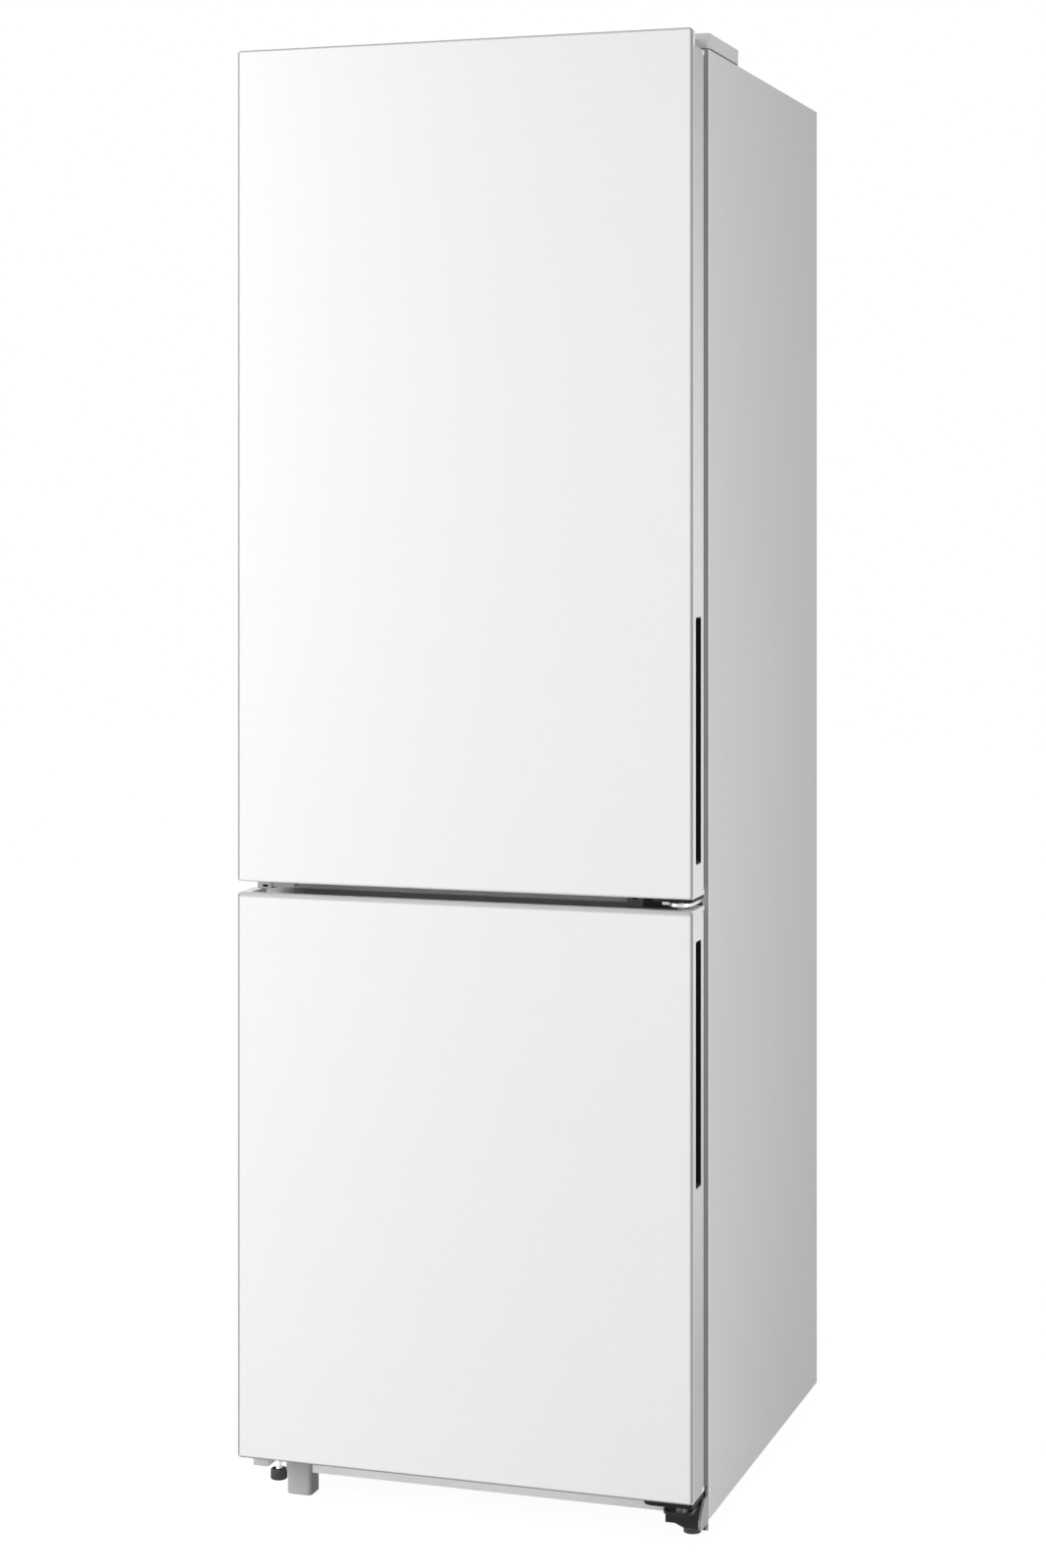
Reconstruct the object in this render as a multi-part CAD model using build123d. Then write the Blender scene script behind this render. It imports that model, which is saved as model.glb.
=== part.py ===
"""Bottom-freezer refrigerator with two side-hinged doors, built as separate named pieces.

Frame: millimetres, X to the right, Y to the back, Z up, floor at Z = 0, centred in X and Y.
Depths are given as distances behind the door face, which stands at Y = -overall_depth / 2.
"""
import math
import os

from build123d import *

# Overall size
overall_width = 595.0
overall_depth = 688.0
overall_height = 1855.0

# Cabinet shell
cabinet_front = 82.0
cabinet_bottom = 29.5
case_skirt = 4.5
cabinet_drop = 20.0
case_sheet = 1.2
case_edge_round = 2.0
case_front_round = 1.6
case_flange_depth = 5.0
side_wall = 43.0
top_wall = 46.0
back_wall = 48.0
liner_wall = 2.0
seal_margin = 34.0
freezer_head_margin = 34.0
rib_width = 10.0
rib_height = 8.0
rib_front_reach = 10.0
cut_margin = 1.0

# Doors
door_drop = 6.0
lower_door_bottom = 67.0
lower_door_height = 716.0
door_gap = 14.0
door_thickness = 58.0
panel_thickness = 5.0
panel_corner_round = 4.0
panel_edge_round = 3.0
door_top_step = 20.0
top_lip_depth = 11.6
top_lip_drop = 0.4
trim_thickness = 11.5
trim_inset = 0.5
trim_front_round = 1.5
trim_rear_round = 1.5
cap_height = 26.0
cap_lip_depth = 4.0
cap_recess = 7.0
cap_web = 3.0
ear_depth = 8.0
ear_height = 6.0
ear_reach = 3.5
ear_gap = 1.0
ear_inset = 0.3
ear_root = 1.0
ear_sweep = 2.5
ear_round = 0.8
liner_sheet = 2.0
liner_side_margin = 3.0
liner_end_margin = 9.0
fridge_dyke_side_gap = 26.5
freezer_dyke_side_gap = 36.5
dyke_wall = 10.0
dyke_inset = 16.0
fridge_dyke_depth = 65.0
freezer_dyke_depth = 24.0
gasket_width = 18.0
gasket_gap = 0.3
gasket_lap = 4.0

# Blank lugs under the left corner of each door
lug_inset_upper = 15.5
lug_inset_lower = 9.5
lug_width_upper = 19.0
lug_width_lower = 21.0
lug_front = 29.0
lug_depth = 21.0
lug_round = 1.5
lug_height_upper = 12.0
lug_height_lower = 18.0
lug_slot_inset = 4.9
lug_slot_width = 7.3
lug_slot_height = 2.8
lug_slot_drop = 6.6
lug_slot_depth = 7.0
lug_tail_length = 30.0
lug_tail_height = 9.0
lug_tail_setback = 2.0

# Side grips
grip_height = 300.0
upper_grip_margin = 40.0
lower_grip_margin = 39.0
grip_front = 20.0
grip_width = 26.0
grip_corner = 3.0
grip_wall = 1.5
grip_pocket = 22.0
grip_undercut = 6.0
grip_clearance = 0.1
grip_setback = 0.4
grip_ramp = 9.0
cup_wall = 2.0
cup_flare = 2.0
cup_end_flare = 4.0

# Hinge pins and screws
hinge_side_inset = 22.0
hinge_front_inset = 32.0
pin_radius = 4.0
pin_clearance = 0.06
pin_reach = 18.0
pin_end_room = 2.0
pin_head_radius = 7.0
pin_head_height = 2.5
washer_radius = 8.0
washer_height_middle = 1.8
washer_height_lower = 4.0
screw_radius = 2.5
screw_head_radius = 5.5
screw_head_height = 2.5
screw_head_bevel = 0.8
screw_cross_length = 6.5
screw_cross_width = 1.4
screw_cross_depth = 1.5
screw_length = 12.0
screw_clearance = 0.1
screw_end_room = 0.3

# Hinge brackets
hinge_plate = 3.0
hinge_arm = 4.0
stop_thickness_upper = 3.8
stop_thickness_lower = 5.5
stop_length_upper = 33.0
stop_length_lower = 42.5
stop_front = 4.0
stop_rear_inset = 1.0
stop_corner = 14.0
stop_washer_gap = 0.6
arm_gap_middle = 3.5
arm_gap_lower = 9.5
top_plate_left = 48.0
top_plate_right = 14.0
top_plate_setback = 8.0
top_plate_length = 90.0
top_plate_corner = 6.0
top_arm_offset = 1.5
top_arm_width = 24.5
top_arm_lap = 22.0
top_eye_gap = 1.5
top_screw_inset = 8.0
top_screw_setback = 22.0
top_screw_rear = 75.0
top_screw_pitch = 28.0
middle_plate_left = 82.0
middle_plate_right = 15.0
middle_plate_lap = 7.0
middle_plate_corner = 4.0
middle_eye_radius = 15.0
middle_arm_left = 24.0
middle_screw_inset = 10.0
middle_screw_pitch = 18.0
middle_screw_count = 3
base_plate_left = 33.0
base_plate_right = 21.0
base_plate_rise = 12.0
base_plate_drop = 12.5
base_foot_drop = 17.5
base_plate_step = 12.0
base_arm_left = 21.0
base_arm_right = 16.0
base_arm_reach = 16.0
base_arm_corner = 12.0
base_ear_depth = 38.0
base_ear_rise = 3.0
base_ear_drop = 8.0
base_ear_slope = 20.0
base_ear_corner = 8.0
base_shelf_rear = 20.0
base_screw_rise = 7.0
base_screw_inset = 8.0
base_screw_pitch = 26.0

# Hinge cover on the cabinet top
cover_length = 149.0
cover_width = 84.0
cover_setback = 3.0
cover_wall = 2.0
cover_corner = 6.0
cover_edge_round = 1.0
cover_seat_height = 1.2
cover_seat_inset = 1.2
cover_lip_gap = 0.9
cover_neck_left = 30.0
cover_neck_right = 1.5
cover_neck_lap = 30.0
cover_neck_drop = 6.0

# Feet and rollers
foot_radius = 11.0
foot_sides = 14
foot_stud_radius = 4.0
foot_stud_length = 34.0
foot_setback = 23.0
left_foot_lift = 9.0
left_foot_height = 13.5
left_foot_side_gap = 1.8
left_well_rise = 11.5
left_well_side = 9.0
left_well_rear = 10.0
left_foot_bevel = 2.0
left_foot_recess = 3.0
left_foot_rim = 3.0
right_foot_height = 8.0
right_foot_inset = 5.5
right_foot_bevel = 1.5
right_foot_neck_wall = 2.5
right_foot_neck_height = 6.0
stud_boss_wall = 5.0
stud_boss_height = 9.0
stud_pan_gap = 3.0
stud_well_gap = 6.0
stud_well_head = 4.0
leg_block_width = 33.0
leg_block_depth = 20.0
leg_block_gap = 12.7
leg_block_reach = 4.0
leg_block_head = 11.0
leg_block_round = 7.0
leg_block_bevel = 2.0
roller_radius = 20.0
roller_width = 20.0
roller_bevel = 1.5
roller_pin_radius = 4.0
roller_side_inset = 30.0
roller_rear_inset = 48.0
roller_head_room = 6.0
roller_ear_gap = 1.0
roller_ear_sheet = 3.0
roller_ear_half = 14.0
roller_ear_drop = 12.0
roller_pin_overhang = 6.0

# Machine compartment
machine_depth = 218.0
machine_top = 267.0
machine_plate_sheet = 2.0
machine_plate_rear_gap = 4.0
compressor_side_inset = 149.0
compressor_radius = 74.0
compressor_height = 150.0
compressor_top_round = 33.0
compressor_base_round = 11.0
compressor_wall = 8.0
compressor_crown = 40.0
compressor_foot_reach = 8.0
compressor_foot_half = 50.0
compressor_foot_sheet = 3.0
seam_level = 60.0
seam_height = 6.0
seam_reach = 2.0
stub_radius = 5.0
stub_offset = 30.0
stub_level = 90.0
stub_reach = 12.0
mount_height = 20.0
mount_radius = 11.0
mount_inset = 14.0
mount_half = 36.0
condenser_length = 148.0
condenser_side_gap = 36.0
condenser_front_gap = 26.0
condenser_rear_gap = 34.0
condenser_lift = 18.0
condenser_head = 36.0
condenser_leg_lap = 4.0
condenser_fin_count = 11
condenser_tube_rows = 4
condenser_tube_columns = 3
fin_sheet = 1.5
tube_radius = 4.0
tube_overhang = 8.0
tray_wall = 2.0
tray_head = 12.0
rear_cover_lift = 2.0
vent_rows = 7
vent_columns = 3
vent_first = 40.0
vent_pitch = 22.0
vent_height = 6.0
vent_length = 140.0
vent_column_gap = 50.0
gland_radius = 9.0
gland_side_inset = 22.0
gland_lift = 22.0

# Fans
fan_radius = 65.0
fan_hub_radius = 18.0
fan_blade_count = 5
fan_thickness = 20.0
blade_root = 4.0
blade_chord = 23.4
blade_sheet = 2.5
blade_pitch = 35.0
shaft_radius = 3.0
shaft_clearance = 0.05
motor_radius = 24.0
motor_length = 38.0
motor_face_gap = 2.0
motor_stay_setback = 12.0
motor_stay_width = 14.0
motor_stay_half = 14.0
condenser_fan_x = 10.0
evaporator_motor_radius = 22.0
evaporator_motor_length = 28.0
evaporator_stay_half = 12.0
evaporator_stay_lap = 4.0
evaporator_fan_head = 22.0
evaporator_fan_setback = 12.0

# Fridge compartment fittings
shelf_bin_gap = 15.0
shelf_duct_gap = 12.0
shelf_glass = 4.0
shelf_slide = 6.5
crisper_space = 196.0
shelf_spacing = 190.0
shelf_head_room = 120.0
shelf_trim_depth = 12.0
shelf_trim_drop = 5.0
shelf_trim_rise = 3.0
shelf_back_rise = 12.0
shelf_trim_side_gap = 1.0
crisper_gap = 6.0
crisper_wall = 2.5
crisper_head_room = 18.0
crisper_guide_height = 60.0
crisper_rear_gap = 10.0
crisper_lip_reach = 5.0
crisper_lip_height = 25.0
crisper_lip_sheet = 2.0
crisper_lip_top = 3.0
slide_gap = 0.4
slide_side_gap = 2.0
door_pass_gap = 3.0
bin_depth = 130.0
bin_wall = 3.0
bin_first = 46.0
bin_spacing = 295.0
bin_tall = 105.0
bin_slack = 2.0
bin_corner = 12.0
bin_lug = 12.0
bin_lug_height = 10.0
bin_lug_setback = 8.0
duct_depth = 26.0
duct_half = 90.0
duct_wall = 3.0
duct_corner = 6.0
duct_floor_gap = 20.0
duct_ceiling_gap = 40.0
duct_vent_rise = 95.0
duct_vent_height = 8.0
duct_vent_length = 50.0
duct_vent_gap = 50.0

# Freezer fittings
drawer_door_gap = 25.0
drawer_wall = 2.5
drawer_front_wall = 6.0
drawer_guide_height = 40.0
drawer_rail_reach = 10.0
drawer_rear_gap = 5.0
drawer_head_bottom = 14.0
drawer_head_middle = 4.0
drawer_head_top = 10.0
drawer_step_gap = 12.0
drawer_grip_half = 90.0
drawer_grip_drop = 12.0
drawer_grip_height = 30.0
drawer_grip_skin = 2.5
runner_setback = 135.0
runner_height = 6.0
step_cover = 40.0
evaporator_space = 90.0
evaporator_side_gap = 52.5
evaporator_lift = 20.0
evaporator_head = 14.0
evaporator_air_gap = 14.0
evaporator_fin_count = 21
evaporator_tube_rows = 5
evaporator_tube_columns = 2
evaporator_stay_inset = 20.0
evaporator_stay_reach = 2.0
cold_cover_sheet = 3.0
outlet_count = 5
outlet_pitch = 20.0
outlet_width = 10.0
outlet_lift = 20.0
outlet_head = 28.0
inlet_count = 9
inlet_pitch = 40.0
inlet_width = 28.0
inlet_lift = 4.0
inlet_height = 5.0

# Control panel and lamp
panel_half_width = 110.0
panel_box_setback = 22.0
panel_box_depth = 90.0
panel_box_height = 24.0
panel_box_round = 5.0
button_offset = 30.0
button_width = 24.0
button_height = 9.0
button_rise = 1.0
button_length = 8.0
button_proud = 1.5
button_round = 1.0
button_travel = 1.2
button_end_room = 1.0
button_clearance = 0.3
lens_half = 100.0
lens_gap = 20.0
lens_length = 90.0
lens_height = 8.0
lens_round = 3.0

# Derived positions
face_y = -overall_depth / 2
half_width = overall_width / 2
cabinet_top = overall_height - cabinet_drop
door_top = overall_height - door_drop
case_bottom = cabinet_bottom - case_skirt
lower_door_top = lower_door_bottom + lower_door_height
upper_door_bottom = lower_door_top + door_gap
upper_body_top = door_top - door_top_step
liner_half = half_width - side_wall
room_half = liner_half - liner_wall
case_inner = half_width - case_sheet
fridge_floor = upper_door_bottom + seal_margin
fridge_ceiling = cabinet_top - top_wall - liner_wall
freezer_floor = lower_door_bottom + seal_margin + liner_wall
freezer_ceiling = lower_door_top - freezer_head_margin
liner_back = overall_depth - back_wall
room_back = liner_back - liner_wall
machine_front = overall_depth - machine_depth
step_back = machine_front - step_cover
step_top = machine_top + step_cover
freezer_back = liner_back - step_cover
evaporator_face = freezer_back - evaporator_space
gasket_front = door_thickness + liner_sheet
gasket_back = cabinet_front - gasket_gap
hinge_x = half_width - hinge_side_inset
seal_swing = math.hypot(gasket_back - hinge_front_inset, gasket_width)
slide_half = hinge_x - seal_swing - door_pass_gap
guide_half = slide_half + slide_side_gap
runner_half = room_half - slide_side_gap
rib_half = room_half - rib_width
shelf_half = room_half - shelf_slide
fridge_dyke_half = room_half - fridge_dyke_side_gap
freezer_dyke_half = room_half - freezer_dyke_side_gap
trim_outer = half_width - trim_inset
trim_inner = trim_outer - trim_thickness
bore_radius = pin_radius + pin_clearance
arm_top = upper_door_bottom - stop_thickness_upper - arm_gap_middle
base_arm_top = lower_door_bottom - stop_thickness_lower - arm_gap_lower
middle_plate_low = lower_door_top - middle_plate_lap
middle_plate_high = upper_door_bottom + middle_plate_lap
pan_top = cabinet_bottom + case_sheet
foot_depth = cabinet_front + foot_setback
left_foot_x = -half_width + foot_radius + left_foot_side_gap
right_foot_x = hinge_x - right_foot_inset
left_well_right = left_foot_x + foot_radius + left_well_side
left_well_back = foot_depth + foot_radius + left_well_rear
left_well_top = cabinet_bottom + left_well_rise
leg_block_x = left_foot_x + foot_radius + leg_block_gap
machine_plate_bottom = 2 * roller_radius + roller_head_room
plate_top = machine_plate_bottom + machine_plate_sheet
bin_half = fridge_dyke_half - dyke_wall - bin_slack
bin_back = gasket_front + bin_depth
shelf_front = bin_back + shelf_bin_gap
shelf_rear = room_back - duct_depth - shelf_duct_gap
first_shelf = fridge_floor + crisper_space
shelf_count = 1 + int((fridge_ceiling - first_shelf - shelf_head_room) // shelf_spacing)
shelf_heights = tuple(first_shelf + shelf_spacing * step for step in range(shelf_count))
bin_names = ("lower", "middle", "upper")
bin_heights = tuple(fridge_floor + bin_first + bin_spacing * step for step in range(len(bin_names)))
drawer_front = gasket_front + freezer_dyke_depth + drawer_door_gap + drawer_front_wall
middle_rail = step_top + drawer_step_gap
drawer_split = (middle_rail, (middle_rail + freezer_ceiling) / 2)
cover_front = cabinet_front + cover_setback
cover_eye = hinge_front_inset - panel_thickness - top_lip_depth - cover_lip_gap
roller_depth = overall_depth - roller_rear_inset
roller_x = half_width - roller_side_inset - roller_width / 2
machine_middle = (machine_front + overall_depth) / 2
fan_middle = (machine_plate_bottom + machine_top) / 2
evaporator_half = room_half - evaporator_side_gap
evaporator_fan_z = freezer_ceiling - fan_radius - evaporator_fan_head
evaporator_fan_front = evaporator_face + evaporator_fan_setback
evaporator_high = evaporator_fan_z - fan_radius - evaporator_head


def block(xs, depths, zs):
    """Box between two X values, two depths behind the door face and two heights."""
    spot = Pos(xs[0], face_y + depths[0], zs[0])
    size = (xs[1] - xs[0], depths[1] - depths[0], zs[1] - zs[0])
    return spot * Box(*size, align=(Align.MIN, Align.MIN, Align.MIN))


def prism(points, depths):
    """Closed outline of X and Z points carried between two depths."""
    plane = Plane.XZ.offset(-(face_y + depths[1]))
    face = make_face(Polyline(*points, close=True))
    return extrude(plane * face, amount=depths[1] - depths[0])


def upright(radius, x, depth, z_low, z_high):
    """Cylinder standing along Z."""
    height = z_high - z_low
    spot = Pos(x, face_y + depth, z_low)
    return spot * Cylinder(radius, height, align=(Align.CENTER, Align.CENTER, Align.MIN))


def along_depth(radius, x, z, depth_low, depth_high):
    """Cylinder lying along Y."""
    length = depth_high - depth_low
    spot = Pos(x, face_y + (depth_low + depth_high) / 2, z) * Rot(90, 0, 0)
    return spot * Cylinder(radius, length)


def along_width(radius, depth, z, x_low, x_high):
    """Cylinder lying along X."""
    spot = Pos((x_low + x_high) / 2, face_y + depth, z) * Rot(0, 90, 0)
    return spot * Cylinder(radius, x_high - x_low)


def flipped(shape):
    """Mirror image on the other side of the middle plane."""
    return mirror(shape, about=Plane.YZ)


def round_edges(shape, axis, radius):
    """Round every edge that runs along one axis."""
    return fillet(shape.edges().filter_by(axis), radius)


def spread(count, pitch):
    """Positions of a row of equal steps, centred on zero."""
    return [pitch * (index - (count - 1) / 2) for index in range(count)]


def open_box(xs, depths, zs, wall):
    """Tub with a floor and four walls, open at the top."""
    outer = block(xs, depths, zs)
    inner_xs = (xs[0] + wall, xs[1] - wall)
    inner_depths = (depths[0] + wall, depths[1] - wall)
    return outer - block(inner_xs, inner_depths, (zs[0] + wall, zs[1] + cut_margin))


def ring(half, z_low, z_high, width, depths):
    """Rectangular frame standing in the XZ plane, centred on the middle plane."""
    outer = block((-half, half), depths, (z_low, z_high))
    hole_half = half - width
    hole_depths = (depths[0] - cut_margin, depths[1] + cut_margin)
    return outer - block((-hole_half, hole_half), hole_depths, (z_low + width, z_high - width))


def screw_spots():
    """Screw positions as (x, depth, z, axis), the head standing out along the axis."""
    spots = []
    plate_front = cabinet_front + top_plate_setback
    top_z = cabinet_top + hinge_plate
    first = hinge_x - top_plate_left + top_screw_inset
    for x in (first, first + top_screw_pitch):
        spots.append((x, plate_front + top_screw_setback, top_z, "up"))
    spots.append((first + top_screw_pitch / 2, plate_front + top_screw_rear, top_z, "up"))
    plate_face = cabinet_front - hinge_plate
    middle_z = (middle_plate_low + middle_plate_high) / 2
    for index in range(middle_screw_count):
        x = hinge_x - middle_plate_left + middle_screw_inset + middle_screw_pitch * index
        spots.append((x, plate_face, middle_z, "front"))
    first = hinge_x - base_plate_left + base_screw_inset
    for x in (first, first + base_screw_pitch):
        spots.append((x, plate_face, base_arm_top + base_screw_rise, "front"))
    return spots


def screw(spot):
    """Round-head screw with a cross recess and its shank behind the head."""
    x, depth, z, axis = spot
    top = screw_head_height
    head = upright(screw_head_radius, 0, -face_y, 0, top)
    head = chamfer(head.edges().group_by(Axis.Z)[-1], screw_head_bevel)
    bar = Pos(0, 0, top) * Box(screw_cross_length, screw_cross_width, 2 * screw_cross_depth)
    head = head - Rot(0, 0, 45) * bar - Rot(0, 0, -45) * bar
    whole = head + upright(screw_radius, 0, -face_y, -screw_length, 0)
    turn = Rot(0, 0, 0) if axis == "up" else Rot(90, 0, 0)
    return Pos(x, face_y + depth, z) * turn * whole


def screw_hole(spot):
    """Clearance hole for a screw shank."""
    x, depth, z, axis = spot
    radius = screw_radius + screw_clearance
    reach = screw_length + screw_end_room
    if axis == "up":
        return upright(radius, x, depth, z - reach, z)
    return along_depth(radius, x, z, depth, depth + reach)


def drilled(shape, axis_names=("up", "front")):
    """Shape with the screw holes cut through it."""
    for spot in screw_spots():
        if spot[3] in axis_names:
            shape = shape - screw_hole(spot)
    return shape


def foot_wells():
    """Room for the two foot studs inside the foam."""
    heights = (pan_top - cut_margin, pan_top + foot_stud_length + stud_well_head)
    radius = foot_stud_radius + stud_well_gap
    return [upright(radius, x, foot_depth, *heights) for x in (left_foot_x, right_foot_x)]


def left_well(sheet):
    """Room over the left foot, open to the front, grown by a sheet where it borders the foam."""
    xs = (-case_inner, left_well_right + sheet)
    depths = (cabinet_front, left_well_back + sheet)
    return block(xs, depths, (cabinet_bottom, left_well_top + sheet))


def outer_case():
    """Folded sheet case: two sides, the top and a narrow front flange, open over the left foot."""
    spare_bottom = case_bottom - case_edge_round - cut_margin
    xs = (-half_width, half_width)
    depths = (cabinet_front, overall_depth)
    case = block(xs, depths, (spare_bottom, cabinet_top))
    case = round_edges(case, Axis.Y, case_edge_round)
    case = fillet(case.faces().sort_by(Axis.Y)[0].edges(), case_front_round)
    case = case - block(xs, depths, (spare_bottom, case_bottom))
    inner_depths = (cabinet_front + case_sheet, overall_depth + cut_margin)
    inner_heights = (case_bottom - cut_margin, cabinet_top - case_sheet)
    case = case - block((-case_inner, case_inner), inner_depths, inner_heights)
    mouth_depths = (cabinet_front - cut_margin, cabinet_front + case_flange_depth)
    mouth_heights = (case_bottom - cut_margin, fridge_ceiling + liner_wall)
    case = case - block((-liner_half, liner_half), mouth_depths, mouth_heights)
    skirt_heights = (case_bottom - cut_margin, cabinet_bottom)
    case = case - block((-case_inner, case_inner), mouth_depths, skirt_heights)
    notch_depths = (cabinet_front - cut_margin, left_well_back)
    notch_heights = (case_bottom - cut_margin, left_well_top)
    notch = block((-half_width - cut_margin, -case_inner), notch_depths, notch_heights)
    return case - left_well(0) - notch


def base_pan():
    """Floor sheet of the cabinet with a front flange, stepped over the machine compartment."""
    xs = (-case_inner, case_inner)
    flange_heights = (cabinet_bottom, freezer_floor - liner_wall)
    front_depths = (cabinet_front, cabinet_front + case_sheet)
    pan = block((-liner_half, liner_half), front_depths, flange_heights)
    floor_depths = (cabinet_front + case_sheet, machine_front + case_sheet)
    pan = pan + block(xs, floor_depths, (cabinet_bottom, pan_top))
    deck_top = machine_top + case_sheet
    pan = pan + block(xs, (machine_front, machine_front + case_sheet), (cabinet_bottom, deck_top))
    pan = pan + block(xs, (machine_front, overall_depth), (machine_top, deck_top))
    hood = left_well(case_sheet)
    hood = hood - block(xs, front_depths, (cabinet_bottom, left_well_top + case_sheet))
    pan = pan + hood - left_well(0)
    boss_top = left_well_top + case_sheet + stud_boss_height
    boss_radius = foot_stud_radius + stud_boss_wall
    pan = pan + upright(boss_radius, left_foot_x, foot_depth, left_well_top, boss_top)
    bore_heights = (cabinet_bottom - cut_margin, boss_top + cut_margin)
    left_bore = foot_stud_radius + pin_clearance
    pan = pan - upright(left_bore, left_foot_x, foot_depth, *bore_heights)
    return pan - upright(foot_stud_radius + stud_pan_gap, right_foot_x, foot_depth, *bore_heights)


def cabinet_shell():
    """Outer case, back panel, base pan, mullion cover and foam filling."""
    rear = overall_depth
    xs = (-case_inner, case_inner)
    inner_top = cabinet_top - case_sheet
    back = block(xs, (rear - case_sheet, rear), (machine_top + case_sheet, inner_top))
    mullion_heights = (freezer_ceiling + liner_wall, fridge_floor - liner_wall)
    mullion_depths = (cabinet_front, cabinet_front + case_sheet)
    mullion = block((-liner_half, liner_half), mullion_depths, mullion_heights)
    foam = block(xs, (cabinet_front + case_sheet, rear - case_sheet), (pan_top, inner_top))
    machine_heights = (cabinet_bottom, machine_top + case_sheet)
    foam = foam - fridge_envelope() - freezer_envelope()
    foam = foam - block(xs, (machine_front, rear), machine_heights)
    foam = foam - left_well(case_sheet)
    for well in foot_wells():
        foam = foam - well
    return {
        "outer_case": drilled(outer_case()),
        "back_panel": back,
        "base_pan": drilled(base_pan(), ("front",)),
        "mullion_cover": drilled(mullion, ("front",)),
        "insulation": drilled(foam),
    }


def fridge_envelope():
    """Outside of the fridge liner as one block."""
    heights = (fridge_floor - liner_wall, fridge_ceiling + liner_wall)
    return block((-liner_half, liner_half), (cabinet_front, liner_back), heights)


def freezer_envelope():
    """Outside of the freezer liner: a tall front room and a raised rear room."""
    ceiling = freezer_ceiling + liner_wall
    xs = (-liner_half, liner_half)
    front_depths = (cabinet_front, step_back + liner_wall)
    front_room = block(xs, front_depths, (freezer_floor - liner_wall, ceiling))
    rear_depths = (cabinet_front, freezer_back + liner_wall)
    return front_room + block(xs, rear_depths, (step_top - liner_wall, ceiling))


def side_ribs(inner_half, depths, heights):
    """Pair of ribs on the side walls of a liner."""
    right = block((inner_half, room_half), depths, heights)
    return [right, flipped(right)]


def liners():
    """Fridge and freezer liners with the ribs that carry shelves and drawers."""
    xs = (-room_half, room_half)
    mouth = cabinet_front - cut_margin
    fridge = fridge_envelope() - block(xs, (mouth, room_back), (fridge_floor, fridge_ceiling))
    rib_depths = (shelf_front - rib_front_reach, shelf_rear)
    ribs = []
    for top in shelf_heights:
        ribs.extend(side_ribs(rib_half, rib_depths, (top - rib_height, top)))
    ribs.extend(side_ribs(guide_half, rib_depths, (fridge_floor, fridge_floor + crisper_guide_height)))
    for rib in ribs:
        fridge = fridge + rib

    front_room = block(xs, (mouth, step_back), (freezer_floor, freezer_ceiling))
    rear_room = block(xs, (mouth, freezer_back), (step_top, freezer_ceiling))
    freezer = freezer_envelope() - front_room - rear_room
    rail_front = drawer_front - drawer_rail_reach
    rails = []
    for top in drawer_split:
        rails.extend(side_ribs(guide_half, (rail_front, evaporator_face), (top - rib_height, top)))
    guide_heights = (freezer_floor, freezer_floor + drawer_guide_height)
    rails.extend(side_ribs(guide_half, (rail_front, step_back), guide_heights))
    for rail in rails:
        freezer = freezer + rail
    return {"fridge_liner": fridge, "freezer_liner": freezer}


def top_bracket():
    """Flat plate on the cabinet top with an arm that reaches the upper pin."""
    heights = (cabinet_top, cabinet_top + hinge_plate)
    front = cabinet_front + top_plate_setback
    plate_xs = (hinge_x - top_plate_left, hinge_x + top_plate_right)
    plate = block(plate_xs, (front, front + top_plate_length), heights)
    plate = round_edges(plate, Axis.Z, top_plate_corner)
    arm_right = hinge_x - top_arm_offset
    arm_depths = (hinge_front_inset, front + top_arm_lap)
    plate = plate + block((arm_right - top_arm_width, arm_right), arm_depths, heights)
    eye_radius = cover_eye - cover_wall - top_eye_gap
    plate = plate + upright(eye_radius, hinge_x, hinge_front_inset, *heights)
    return plate - pin_bore(heights)


def pin_bore(heights):
    """Cutter for a pin bore through a pair of heights."""
    low = heights[0] - cut_margin
    return upright(bore_radius, hinge_x, hinge_front_inset, low, heights[1] + cut_margin)


def middle_bracket():
    """Upright plate on the mullion with an arm between the doors."""
    plate_depths = (cabinet_front - hinge_plate, cabinet_front)
    plate_xs = (hinge_x - middle_plate_left, hinge_x + middle_plate_right)
    plate = block(plate_xs, plate_depths, (middle_plate_low, middle_plate_high))
    plate = round_edges(plate, Axis.Y, middle_plate_corner)
    heights = (arm_top - hinge_arm, arm_top)
    arm_xs = (hinge_x - middle_arm_left, hinge_x + middle_eye_radius)
    plate = plate + block(arm_xs, (hinge_front_inset, cabinet_front), heights)
    plate = plate + upright(middle_eye_radius, hinge_x, hinge_front_inset, *heights)
    return plate - pin_bore(heights)


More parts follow.
